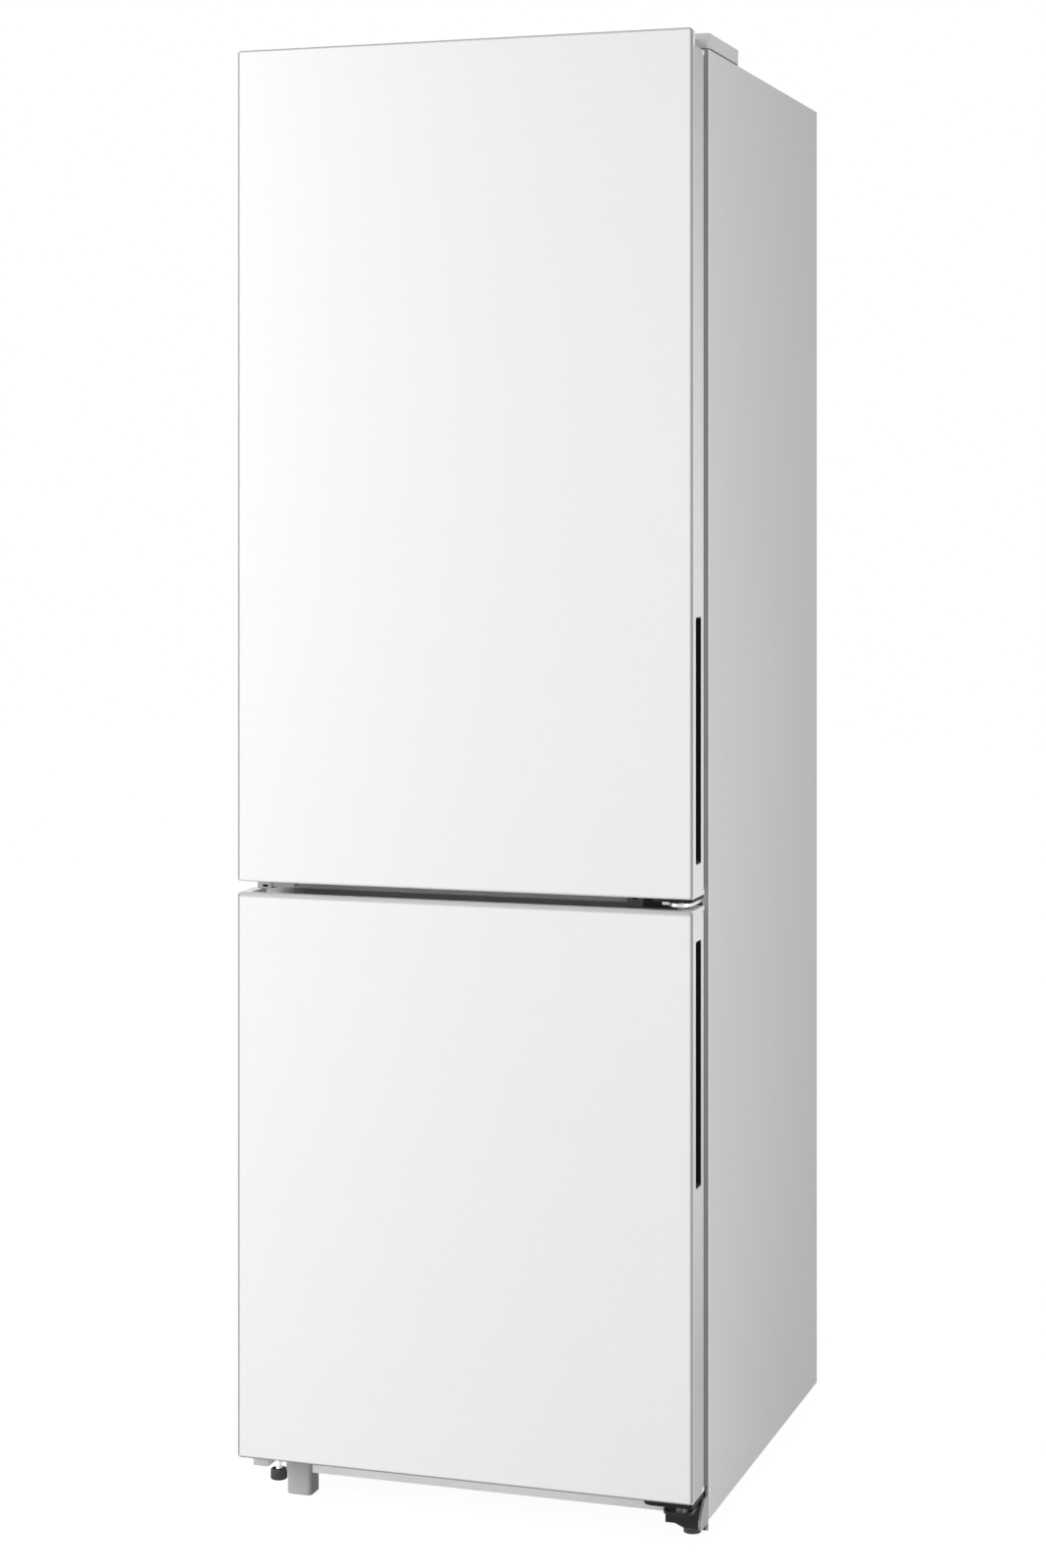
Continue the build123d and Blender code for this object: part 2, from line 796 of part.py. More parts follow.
def bottom_bracket():
    """Upright plate under the cabinet with a pin arm, a side ear and a shelf for the foot."""
    right = hinge_x + base_plate_right
    left = hinge_x - base_plate_left
    low = cabinet_bottom - base_plate_drop
    foot_low = cabinet_bottom - base_foot_drop
    high = base_arm_top + base_plate_rise
    outline = (
        (left, low),
        (left + base_plate_step, low),
        (left + 2 * base_plate_step, foot_low),
        (right, foot_low),
        (right, high),
        (left, high),
    )
    plate = prism(outline, (cabinet_front - hinge_plate, cabinet_front))
    heights = (base_arm_top - hinge_arm, base_arm_top)
    arm_depths = (hinge_front_inset - base_arm_reach, cabinet_front - hinge_plate)
    arm = block((hinge_x - base_arm_left, hinge_x + base_arm_right), arm_depths, heights)
    arm = fillet(arm.edges().filter_by(Axis.Z).group_by(Axis.Y)[0], base_arm_corner)
    ear_heights = (cabinet_bottom - base_ear_drop, base_arm_top + base_ear_rise)
    ear_depths = (cabinet_front - base_ear_depth, cabinet_front)
    ear = block((right - hinge_plate, right), ear_depths, ear_heights)
    front_edges = ear.edges().filter_by(Axis.X).group_by(Axis.Y)[0].sort_by(Axis.Z)
    ear = fillet(front_edges[0], base_ear_corner)
    top_edges = ear.edges().filter_by(Axis.X).group_by(Axis.Z)[-1].sort_by(Axis.Y)
    ear = chamfer(top_edges[0], base_ear_slope)
    shelf_depths = (cabinet_front - hinge_plate, foot_depth + base_shelf_rear)
    foot_shelf_heights = (cabinet_bottom - hinge_plate, cabinet_bottom)
    shelf_xs = (left + base_plate_step, right - hinge_plate)
    shelf = block(shelf_xs, shelf_depths, foot_shelf_heights)
    bracket = plate + arm + ear + shelf - pin_bore(heights)
    foot_bore = foot_stud_radius + pin_clearance
    bore_heights = (cabinet_bottom - hinge_plate - cut_margin, cabinet_bottom + cut_margin)
    return bracket - upright(foot_bore, right_foot_x, foot_depth, *bore_heights)


def hinge_pins():
    """Three pins on the hinge line, each with its head or washer."""
    spot = (hinge_x, hinge_front_inset)
    plate_top_z = cabinet_top + hinge_plate
    top = upright(pin_radius, *spot, upper_body_top - pin_reach, plate_top_z)
    top = top + upright(pin_head_radius, *spot, plate_top_z, plate_top_z + pin_head_height)
    middle = upright(pin_radius, *spot, lower_door_top - pin_reach, upper_door_bottom + pin_reach)
    arm_low = arm_top - hinge_arm
    middle = middle + upright(washer_radius, *spot, arm_low - washer_height_middle, arm_low)
    low = upright(pin_radius, *spot, base_arm_top - hinge_arm, lower_door_bottom + pin_reach)
    low = low + upright(washer_radius, *spot, base_arm_top, base_arm_top + washer_height_lower)
    return [top, middle, low]


def hinge_set():
    """Three hinge brackets, their pins, screws and the cover over the top hinge."""
    return {
        "top_hinge_bracket": drilled(top_bracket(), ("up",)),
        "middle_hinge_bracket": drilled(middle_bracket(), ("front",)),
        "bottom_hinge_bracket": drilled(bottom_bracket(), ("front",)),
        "hinge_pins": hinge_pins(),
        "hinge_screws": [screw(spot) for spot in screw_spots()],
        "top_hinge_cover": hinge_cover(),
    }


def cover_block(inset, z_low, z_high, neck_high):
    """Outline of the hinge cover drawn in by an inset, with a neck of its own height."""
    rear = cover_front + cover_length
    right = half_width - inset
    left = half_width - cover_width + inset
    body = block((left, right), (cover_front + inset, rear - inset), (z_low, z_high))
    body = round_edges(body, Axis.Z, cover_corner - inset)
    neck_xs = (hinge_x - cover_neck_left + inset, hinge_x + cover_neck_right - inset)
    neck = block(neck_xs, (hinge_front_inset, cover_front + cover_neck_lap), (z_low, neck_high))
    eye = upright(cover_eye - inset, hinge_x, hinge_front_inset, z_low, neck_high)
    return body + neck + eye


def hinge_cover():
    """Moulded cover over the top hinge, open underneath, standing on a drawn-in seat."""
    low = cabinet_top
    high = overall_height
    neck_high = high - cover_neck_drop
    seat_high = low + cover_seat_height
    outer = cover_block(0, seat_high, high, neck_high)
    outer = fillet(outer.edges().group_by(Axis.Z)[-1], cover_edge_round)
    outer = outer + cover_block(cover_seat_inset, low, seat_high, seat_high)
    room_heights = (low - cut_margin, high - cover_wall)
    return outer - cover_block(cover_wall, *room_heights, neck_high - cover_wall)


def door_trim(z_low, z_high, grip_low):
    """Right side trim of a door with its grip slot and notched rear corners."""
    trim = block((trim_inner, trim_outer), (panel_thickness, door_thickness), (z_low, z_high))
    rear_edge = trim.edges().filter_by(Axis.Z).group_by(Axis.X)[-1].sort_by(Axis.Y)[-1]
    trim = fillet(rear_edge, trim_rear_round)
    front_edge = trim.edges().filter_by(Axis.Z).group_by(Axis.X)[-1].sort_by(Axis.Y)[0]
    trim = fillet(front_edge, trim_front_round)
    cut_xs = (trim_inner - cut_margin, trim_outer + cut_margin)
    slot_depths = (grip_front, grip_front + grip_width)
    slot = block(cut_xs, slot_depths, (grip_low, grip_low + grip_height))
    trim = trim - round_edges(slot, Axis.X, grip_corner)
    notch_depths = (door_thickness - ear_depth - ear_gap, door_thickness + cut_margin)
    notch = ear_height + ear_gap
    for heights in ((z_low - cut_margin, z_low + notch), (z_high - notch, z_high + cut_margin)):
        trim = trim - block(cut_xs, notch_depths, heights)
    return trim


def grip_cup_outer(grip_low):
    """Outside of the right grip pocket behind the trim."""
    front = grip_front - grip_undercut - cup_wall
    rear = grip_front + grip_width + cup_flare + cup_wall
    reach = cup_end_flare + cup_wall
    heights = (grip_low - reach, grip_low + grip_height + reach)
    return block((trim_inner - grip_pocket - cup_wall, trim_inner), (front, rear), heights)


def grip_cup(grip_low):
    """Right grip: a sleeve through the trim, sloped at its foot, with a wider pocket behind it."""
    grip_high = grip_low + grip_height
    gap = grip_clearance
    wall = grip_wall
    sleeve_face = trim_outer - grip_setback
    sleeve_depths = (grip_front + gap, grip_front + grip_width - gap)
    sleeve_xs = (trim_inner - cup_wall, sleeve_face)
    sleeve = block(sleeve_xs, sleeve_depths, (grip_low + gap, grip_high - gap))
    sleeve = round_edges(sleeve, Axis.X, grip_corner)
    pocket_depths = (grip_front - grip_undercut, grip_front + grip_width + cup_flare)
    pocket_heights = (grip_low - cup_end_flare, grip_high + cup_end_flare)
    pocket = block((trim_inner - grip_pocket, trim_inner - cup_wall), pocket_depths, pocket_heights)
    mouth_depths = (grip_front + wall, grip_front + grip_width - wall)
    mouth_xs = (trim_inner - cup_wall - cut_margin, trim_outer + cut_margin)
    mouth = block(mouth_xs, mouth_depths, (grip_low + wall, grip_high - wall))
    mouth = round_edges(mouth, Axis.X, grip_corner - wall)
    foot = grip_low + wall
    slope = ((sleeve_xs[0], foot), (sleeve_face, foot), (sleeve_xs[0], foot + grip_ramp))
    ramp = prism(slope, mouth_depths)
    return sleeve + grip_cup_outer(grip_low) - pocket - mouth + ramp


def cap_ear(heights, at_bottom):
    """Hooked ear at the right rear corner of an end cap, curved away from the door end."""
    depths = (door_thickness - ear_depth, door_thickness + ear_reach)
    ear = block((trim_inner - ear_root, trim_outer - ear_inset), depths, heights)
    rear_edges = ear.edges().filter_by(Axis.X).group_by(Axis.Y)[-1].sort_by(Axis.Z)
    far_edge = rear_edges[-1] if at_bottom else rear_edges[0]
    ear = fillet(far_edge, ear_sweep)
    end_edges = ear.edges().filter_by(Axis.X).group_by(Axis.Y)[-1]
    return fillet(end_edges.sort_by(Axis.Z)[0 if at_bottom else -1], ear_round)


def end_cap(z_low, z_high, at_bottom):
    """Moulded cap closing one end of a door, with the pin bore and two hooked ears."""
    depths = (panel_thickness, door_thickness)
    heights = (z_low, z_low + cap_height) if at_bottom else (z_high - cap_height, z_high)
    cap = block((-trim_inner, trim_inner), depths, heights)
    ear_heights = (z_low, z_low + ear_height) if at_bottom else (z_high - ear_height, z_high)
    ear = cap_ear(ear_heights, at_bottom)
    cap = cap + ear + flipped(ear)
    bore = pin_reach + pin_end_room
    bore_heights = (z_low - cut_margin, z_low + bore) if at_bottom else (z_high - bore, z_high + cut_margin)
    return cap - upright(bore_radius, hinge_x, hinge_front_inset, *bore_heights)


def cap_trough(z_high):
    """Cutter that lowers an upper cap behind its front lip."""
    half = trim_inner - cap_web
    depths = (panel_thickness + cap_lip_depth, door_thickness + cut_margin)
    return block((-half, half), depths, (z_high - cap_recess, z_high + cut_margin))


def top_lip(z_low, z_high):
    """Strip behind the raised top of the panel, rounded like the panel's corners."""
    depths = (panel_thickness, panel_thickness + top_lip_depth)
    lip = block((-trim_outer, trim_outer), depths, (z_low, z_high))
    corners = lip.edges().filter_by(Axis.Y).group_by(Axis.Z)[-1]
    return fillet(corners, panel_corner_round - trim_inset)


def blank_lug(z_low, inset, width, height, slotted):
    """Lug under the left corner of a door, with a slot and a tail on the upper door."""
    left = -half_width + inset
    right = left + width
    lug = block((left, right), (lug_front, lug_front + lug_depth), (z_low - height, z_low))
    lug = fillet(lug.edges().group_by(Axis.Z)[0], lug_round)
    if slotted:
        slot_right = right - lug_slot_inset
        slot_top = z_low - lug_slot_drop
        slot_depths = (lug_front - cut_margin, lug_front + lug_slot_depth)
        slot_heights = (slot_top - lug_slot_height, slot_top)
        lug = lug - block((slot_right - lug_slot_width, slot_right), slot_depths, slot_heights)
        tail_depths = (lug_front + lug_tail_setback, lug_front + lug_depth)
        lug = lug + block((right, right + lug_tail_length), tail_depths, (z_low - lug_tail_height, z_low))
    return lug


def door_stop(z_low, thickness, length):
    """Black plate under the hinge corner of a door, rounded at its inner end."""
    depths = (stop_front, door_thickness - stop_rear_inset)
    plate = block((hinge_x - length, trim_outer), depths, (z_low - thickness, z_low))
    plate = fillet(plate.edges().filter_by(Axis.Z).group_by(Axis.X)[0], stop_corner)
    hole_heights = (z_low - thickness - cut_margin, z_low + cut_margin)
    hole = upright(washer_radius + stop_washer_gap, hinge_x, hinge_front_inset, *hole_heights)
    return plate - hole


def door_gasket(room):
    """Bellows seal: a base bead, a narrow neck and a magnet bead."""
    margin = gasket_width + gasket_lap
    low = room[0] - margin
    high = room[1] + margin
    third = (gasket_back - gasket_front) / 3
    neck_front = gasket_front + third
    neck_back = gasket_back - third
    seal = ring(hinge_x, low, high, gasket_width, (gasket_front, neck_front))
    inset = gasket_width / 4
    seal = seal + ring(hinge_x - inset, low + inset, high - inset, gasket_width / 2, (neck_front, neck_back))
    return seal + ring(hinge_x, low, high, gasket_width, (neck_back, gasket_back))


def door_liner(z_low, z_high, room, dyke_half, dyke_depth, lug_tops):
    """Inner door sheet with a raised dyke, and lugs where bins hang."""
    sheet_half = trim_inner - liner_side_margin
    sheet_heights = (z_low + liner_end_margin, z_high - liner_end_margin)
    sheet = block((-sheet_half, sheet_half), (door_thickness, gasket_front), sheet_heights)
    dyke_depths = (gasket_front, gasket_front + dyke_depth)
    liner = sheet + ring(dyke_half, room[0] + dyke_inset, room[1] - dyke_inset, dyke_wall, dyke_depths)
    inner = dyke_half - dyke_wall
    lug_depths = (gasket_front, gasket_front + dyke_depth - bin_lug_setback)
    for top in lug_tops:
        lug = block((inner - bin_lug, inner), lug_depths, (top - bin_lug_height, top))
        liner = liner + lug + flipped(lug)
    return liner


def door_panel(z_low, z_high):
    """Flat front panel with rounded corners and edges."""
    panel = block((-half_width, half_width), (0, panel_thickness), (z_low, z_high))
    panel = round_edges(panel, Axis.Y, panel_corner_round)
    return fillet(panel.faces().sort_by(Axis.Y)[0].edges(), panel_edge_round)


def door_core(z_low, z_high, grip_low):
    """The pieces that both doors share: trims, grips and foam."""
    trim = door_trim(z_low, z_high, grip_low)
    cup = grip_cup(grip_low)
    heights = (z_low + cap_height, z_high - cap_height)
    foam = block((-trim_inner, trim_inner), (panel_thickness, door_thickness), heights)
    hollow = grip_cup_outer(grip_low)
    return {
        "_trims": [trim, flipped(trim)],
        "_grips": [cup, flipped(cup)],
        "_foam": foam - hollow - flipped(hollow),
    }


def fridge_door():
    """Fixed pieces of the upper door and its three bins."""
    low = upper_door_bottom
    high = upper_body_top
    room = (fridge_floor, fridge_ceiling)
    pieces = door_core(low, high, low + upper_grip_margin)
    upper_cap = end_cap(low, high, False) + top_lip(high, door_top - top_lip_drop)
    lug = blank_lug(low, lug_inset_upper, lug_width_upper, lug_height_upper, True)
    pieces["_panel"] = door_panel(low, door_top)
    pieces["_caps"] = [end_cap(low, high, True), upper_cap, lug]
    pieces["_liner"] = door_liner(low, high, room, fridge_dyke_half, fridge_dyke_depth, bin_heights)
    pieces["_gasket"] = door_gasket(room)
    pieces["_stop"] = door_stop(low, stop_thickness_upper, stop_length_upper)
    for name, bin_low in zip(bin_names, bin_heights):
        pieces["_bin_" + name] = door_bin(bin_low)
    return {"fridge_door" + name: piece for name, piece in pieces.items()}


def freezer_door():
    """Fixed pieces of the lower door."""
    low = lower_door_bottom
    high = lower_door_top
    room = (freezer_floor, freezer_ceiling)
    pieces = door_core(low, high, high - lower_grip_margin - grip_height)
    lug = blank_lug(low, lug_inset_lower, lug_width_lower, lug_height_lower, False)
    pieces["_panel"] = door_panel(low, high)
    upper_cap = end_cap(low, high, False) - cap_trough(high)
    pieces["_caps"] = [end_cap(low, high, True), upper_cap, lug]
    pieces["_liner"] = door_liner(low, high, room, freezer_dyke_half, freezer_dyke_depth, ())
    pieces["_gasket"] = door_gasket(room)
    pieces["_stop"] = door_stop(low, stop_thickness_lower, stop_length_lower)
    return {"freezer_door" + name: piece for name, piece in pieces.items()}


def door_bin(low):
    """Bin on the upper door, open at the top, with rounded outer corners."""
    tub = block((-bin_half, bin_half), (gasket_front, bin_back), (low, low + bin_tall))
    tub = fillet(tub.edges().filter_by(Axis.Z).group_by(Axis.Y)[-1], bin_corner)
    room_half_width = bin_half - bin_wall
    room_depths = (gasket_front + bin_wall, bin_back - bin_wall)
    room_heights = (low + bin_wall, low + bin_tall + cut_margin)
    room = block((-room_half_width, room_half_width), room_depths, room_heights)
    room = fillet(room.edges().filter_by(Axis.Z).group_by(Axis.Y)[-1], bin_corner - bin_wall)
    return tub - room


def shelves():
    """Glass shelves with front and rear trims, the lowest over the crispers."""
    plates = []
    trims = []
    trim_half = rib_half - shelf_trim_side_gap
    reach = shelf_trim_depth / 2
    for top in shelf_heights:
        glass = block((-shelf_half, shelf_half), (shelf_front, shelf_rear), (top, top + shelf_glass))
        plates.append(glass)
        low = top - shelf_trim_drop
        glass_top = top + shelf_glass
        for middle, rise in ((shelf_front, shelf_trim_rise), (shelf_rear, shelf_back_rise)):
            depths = (middle - reach, middle + reach)
            trim = block((-trim_half, trim_half), depths, (low, glass_top + rise))
            trims.append(trim - glass)
    return {"fridge_shelves": plates, "shelf_trims": trims}


def crispers():
    """Two vegetable drawers standing on the fridge liner floor."""
    low = fridge_floor + slide_gap
    high = shelf_heights[0] - crisper_head_room
    xs = (crisper_gap / 2, slide_half)
    tub = open_box(xs, (shelf_front, shelf_rear - crisper_rear_gap), (low, high), crisper_wall)
    lip_low = high - crisper_lip_height
    lip = block(xs, (shelf_front - crisper_lip_reach, shelf_front), (lip_low, high))
    room_depths = (shelf_front - crisper_lip_reach + crisper_lip_sheet, shelf_front)
    room_xs = (xs[0] - cut_margin, xs[1] + cut_margin)
    lip = lip - block(room_xs, room_depths, (lip_low - cut_margin, high - crisper_lip_top))
    right = tub + lip
    return {"crisper_left": flipped(right), "crisper_right": right}


def freezer_drawer(low, high, rear, on_rails):
    """Drawer with a thick front, a hand recess, and runners where it hangs on rails."""
    xs = (-slide_half, slide_half)
    face = drawer_front - drawer_front_wall
    drawer = open_box(xs, (drawer_front, rear), (low, high), drawer_wall)
    drawer = drawer + block(xs, (face, drawer_front), (low, high))
    recess_depths = (face - cut_margin, drawer_front - drawer_grip_skin)
    recess_top = high - drawer_grip_drop
    recess_heights = (recess_top - drawer_grip_height, recess_top)
    drawer = drawer - block((-drawer_grip_half, drawer_grip_half), recess_depths, recess_heights)
    if on_rails:
        runner_depths = (drawer_front + runner_setback, rear)
        runner = block((slide_half, runner_half), runner_depths, (low, low + runner_height))
        drawer = drawer + runner + flipped(runner)
    return drawer


def freezer_drawers():
    """Three freezer drawers, the lowest standing on the liner floor."""
    lower_rail, upper_rail = drawer_split
    bottom_high = lower_rail - rib_height - drawer_head_bottom
    middle_high = upper_rail - rib_height - drawer_head_middle
    top_high = freezer_ceiling - drawer_head_top
    short_rear = step_back - drawer_rear_gap
    long_rear = evaporator_face - drawer_rear_gap
    bottom = freezer_drawer(freezer_floor + slide_gap, bottom_high, short_rear, False)
    middle = freezer_drawer(lower_rail + slide_gap, middle_high, long_rear, True)
    top = freezer_drawer(upper_rail + slide_gap, top_high, long_rear, True)
    return {
        "freezer_drawer_bottom": bottom,
        "freezer_drawer_middle": middle,
        "freezer_drawer_top": top,
    }


def fan_rotor():
    """Hub and pitched blades of a fan about the Z axis, centred on the origin."""
    rotor = Cylinder(fan_hub_radius, fan_thickness)
    reach = fan_radius - fan_hub_radius + blade_root
    middle = (fan_hub_radius - blade_root + fan_radius) / 2
    for index in range(fan_blade_count):
        blade = Pos(middle, 0, 0) * Rot(blade_pitch, 0, 0) * Box(reach, blade_chord, blade_sheet)
        rotor = rotor + Rot(0, 0, 360 / fan_blade_count * index) * blade
    return rotor - Cylinder(shaft_radius + shaft_clearance, fan_thickness + 2 * cut_margin)


def fin_pack(xs, depths, zs, fins, rows, columns):
    """Finned coil: thin upright plates threaded on straight tubes."""
    step = (xs[1] - xs[0] - fin_sheet) / (fins - 1)
    pack = block((xs[0], xs[0] + fin_sheet), depths, zs)
    for index in range(1, fins):
        x = xs[0] + step * index
        pack = pack + block((x, x + fin_sheet), depths, zs)
    row_step = (zs[1] - zs[0]) / rows
    column_step = (depths[1] - depths[0]) / columns
    middle_z = (zs[0] + zs[1]) / 2
    middle_depth = (depths[0] + depths[1]) / 2
    for rise in spread(rows, row_step):
        for shift in spread(columns, column_step):
            tube_xs = (xs[0] - tube_overhang, xs[1] + tube_overhang)
            pack = pack + along_width(tube_radius, middle_depth + shift, middle_z + rise, *tube_xs)
    return pack


def machine_base():
    """Floor plate of the machine compartment with the roller forks and their pins."""
    plate_depths = (machine_front + case_sheet, overall_depth - machine_plate_rear_gap)
    base = block((-case_inner, case_inner), plate_depths, (machine_plate_bottom, plate_top))
    fork = roller_width / 2 + roller_ear_gap
    ear_depths = (roller_depth - roller_ear_half, roller_depth + roller_ear_half)
    ear_heights = (roller_radius - roller_ear_drop, plate_top)
    half_pin = roller_width / 2 + roller_pin_overhang
    for x in (-roller_x, roller_x):
        base = base + block((x + fork, x + fork + roller_ear_sheet), ear_depths, ear_heights)
        base = base + block((x - fork - roller_ear_sheet, x - fork), ear_depths, ear_heights)
        base = base + along_width(roller_pin_radius, roller_depth, roller_radius, x - half_pin, x + half_pin)
    return base


def roller(x):
    """Rear roller turning on the fixed pin of the machine base."""
    xs = (x - roller_width / 2, x + roller_width / 2)
    wheel = along_width(roller_radius, roller_depth, roller_radius, *xs)
    wheel = chamfer(wheel.edges(), roller_bevel)
    bore = roller_pin_radius + pin_clearance
    return wheel - along_width(bore, roller_depth, roller_radius, xs[0] - cut_margin, xs[1] + cut_margin)


def compressor_set():
    """Hollow compressor shell on its foot plate, and the four rubber mounts under it."""
    x = -half_width + compressor_side_inset
    low = plate_top + mount_height
    high = low + compressor_height
    spot = (x, machine_middle)
    shell = upright(compressor_radius, *spot, low, high)
    shell = fillet(shell.edges().group_by(Axis.Z)[-1], compressor_top_round)
    shell = fillet(shell.edges().group_by(Axis.Z)[0], compressor_base_round)
    foot_half = compressor_radius + compressor_foot_reach
    foot_depths = (machine_middle - compressor_foot_half, machine_middle + compressor_foot_half)
    shell = shell + block((x - foot_half, x + foot_half), foot_depths, (low, low + compressor_foot_sheet))
    seam_low = low + seam_level
    shell = shell + upright(compressor_radius + seam_reach, *spot, seam_low, seam_low + seam_height)
    stub_front = machine_middle - compressor_radius - stub_reach
    shell = shell + along_depth(stub_radius, x + stub_offset, low + stub_level, stub_front, machine_middle)
    hollow_heights = (low + compressor_wall, high - compressor_crown)
    shell = shell - upright(compressor_radius - compressor_wall, *spot, *hollow_heights)
    mounts = []
    for side in (-1, 1):
        for end in (-1, 1):
            mount_x = x + side * (foot_half - mount_inset)
            mounts.append(upright(mount_radius, mount_x, machine_middle + end * mount_half, plate_top, low))
    return shell, mounts


def machine_cover():
    """Rear cover of the machine compartment with air slots and the cord gland hole."""
    depths = (overall_depth - case_sheet, overall_depth)
    cut_depths = (depths[0] - cut_margin, depths[1] + cut_margin)
    cover = block((-case_inner, case_inner), depths, (plate_top + rear_cover_lift, machine_top))
    half = vent_length / 2
    for index in range(vent_rows):
        z = plate_top + vent_first + index * vent_pitch
        for x in spread(vent_columns, vent_length + vent_column_gap):
            cover = cover - block((x - half, x + half), cut_depths, (z, z + vent_height))
    gland_x = half_width - gland_side_inset
    return cover - along_depth(gland_radius, gland_x, plate_top + gland_lift, *cut_depths)


def machine_room():
    """Compressor, condenser and drip pan in the compartment at the lower rear."""
    shell, mounts = compressor_set()
    coil_right = half_width - condenser_side_gap
    xs = (coil_right - condenser_length, coil_right)
    depths = (machine_front + condenser_front_gap, overall_depth - condenser_rear_gap)
    heights = (plate_top + condenser_lift, machine_top - condenser_head)
    coil = fin_pack(xs, depths, heights, condenser_fin_count, condenser_tube_rows, condenser_tube_columns)
    for x in (xs[0], xs[1] - fin_sheet):
        leg_heights = (plate_top, heights[0] + condenser_leg_lap)
        coil = coil + block((x, x + fin_sheet), depths, leg_heights)
    tray = open_box(xs, depths, (heights[1], machine_top - tray_head), tray_wall)
    return {
        "machine_base": machine_base(),
        "compressor": shell,
        "compressor_mounts": mounts,
        "condenser": coil,
        "drip_pan": tray,
        "machine_cover": machine_cover(),
        "rear_roller_left": roller(-roller_x),
        "rear_roller_right": roller(roller_x),
    }


def fans():
    """Condenser and evaporator fans with their motors."""
    rotor = fan_rotor()
    half = fan_thickness / 2
    depth = machine_middle
    condenser_fan = Pos(condenser_fan_x, face_y + depth, fan_middle) * Rot(0, 90, 0) * rotor
    face = condenser_fan_x + half + motor_face_gap
    motor = along_width(motor_radius, depth, fan_middle, face, face + motor_length)
    shaft_end = face + cut_margin
    motor = motor + along_width(shaft_radius, depth, fan_middle, condenser_fan_x - half, shaft_end)
    stay_left = face + motor_stay_setback
    stay_depths = (depth - motor_stay_half, depth + motor_stay_half)
    motor = motor + block((stay_left, stay_left + motor_stay_width), stay_depths, (plate_top, fan_middle))

    z = evaporator_fan_z
    front = evaporator_fan_front
    evaporator_fan = Pos(0, face_y + front + half, z) * Rot(90, 0, 0) * rotor
    face = front + fan_thickness + motor_face_gap
    back = face + evaporator_motor_length
    cold_motor = along_depth(evaporator_motor_radius, 0, z, face, back)
    cold_motor = cold_motor + along_depth(shaft_radius, 0, z, front, face + cut_margin)
    stay = evaporator_stay_half
    stay_block = block((-stay, stay), (back - evaporator_stay_lap, freezer_back), (z - stay, z + stay))
    return {
        "condenser_fan": condenser_fan,
        "evaporator_fan": evaporator_fan,
        "fan_motors": [motor, cold_motor + stay_block],
    }


def evaporator():
    """Finned evaporator held to the rear wall of the freezer by its end plates."""
    xs = (-evaporator_half, evaporator_half)
    depths = (evaporator_face + evaporator_air_gap, freezer_back - evaporator_air_gap)
    heights = (step_top + evaporator_lift, evaporator_high)
    coil = fin_pack(xs, depths, heights, evaporator_fin_count, evaporator_tube_rows, evaporator_tube_columns)
    stay_heights = (heights[0] + evaporator_stay_inset, heights[1] - evaporator_stay_inset)
    stay_depths = (depths[1] - evaporator_stay_reach, freezer_back)
    for x in (xs[0], xs[1] - fin_sheet):
        coil = coil + block((x, x + fin_sheet), stay_depths, stay_heights)
    return coil


def evaporator_cover():
    """Sheet in front of the evaporator with air outlets above and inlets below."""
    depths = (evaporator_face, evaporator_face + cold_cover_sheet)
    cut_depths = (depths[0] - cut_margin, depths[1] + cut_margin)
    cover = block((-room_half, room_half), depths, (step_top, freezer_ceiling))
    outlet_heights = (evaporator_high + outlet_lift, freezer_ceiling - outlet_head)
    for x in spread(outlet_count, outlet_pitch):
        cover = cover - block((x - outlet_width / 2, x + outlet_width / 2), cut_depths, outlet_heights)
    inlet_low = step_top + inlet_lift
    for x in spread(inlet_count, inlet_pitch):
        inlet_xs = (x - inlet_width / 2, x + inlet_width / 2)
        cover = cover - block(inlet_xs, cut_depths, (inlet_low, inlet_low + inlet_height))
    return cover


def air_duct_cover():
    """Hollow air duct on the rear wall of the fridge with two vents over each shelf."""
    heights = (fridge_floor + duct_floor_gap, fridge_ceiling - duct_ceiling_gap)
    front = room_back - duct_depth
    duct = block((-duct_half, duct_half), (front, room_back), heights)
    front_edges = duct.edges().filter_by(Axis.Z).group_by(Axis.Y)[0]
    duct = fillet(front_edges, duct_corner)
    inner_half = duct_half - duct_wall
    inner_heights = (heights[0] + duct_wall, heights[1] - duct_wall)
    duct = duct - block((-inner_half, inner_half), (front + duct_wall, room_back + cut_margin), inner_heights)
    vent_depths = (front - cut_margin, front + duct_wall + cut_margin)
    for top in shelf_heights:
        z = top + duct_vent_rise
        for x in spread(2, duct_vent_length + duct_vent_gap):
            vent_xs = (x - duct_vent_length / 2, x + duct_vent_length / 2)
            duct = duct - block(vent_xs, vent_depths, (z, z + duct_vent_height))
    return duct


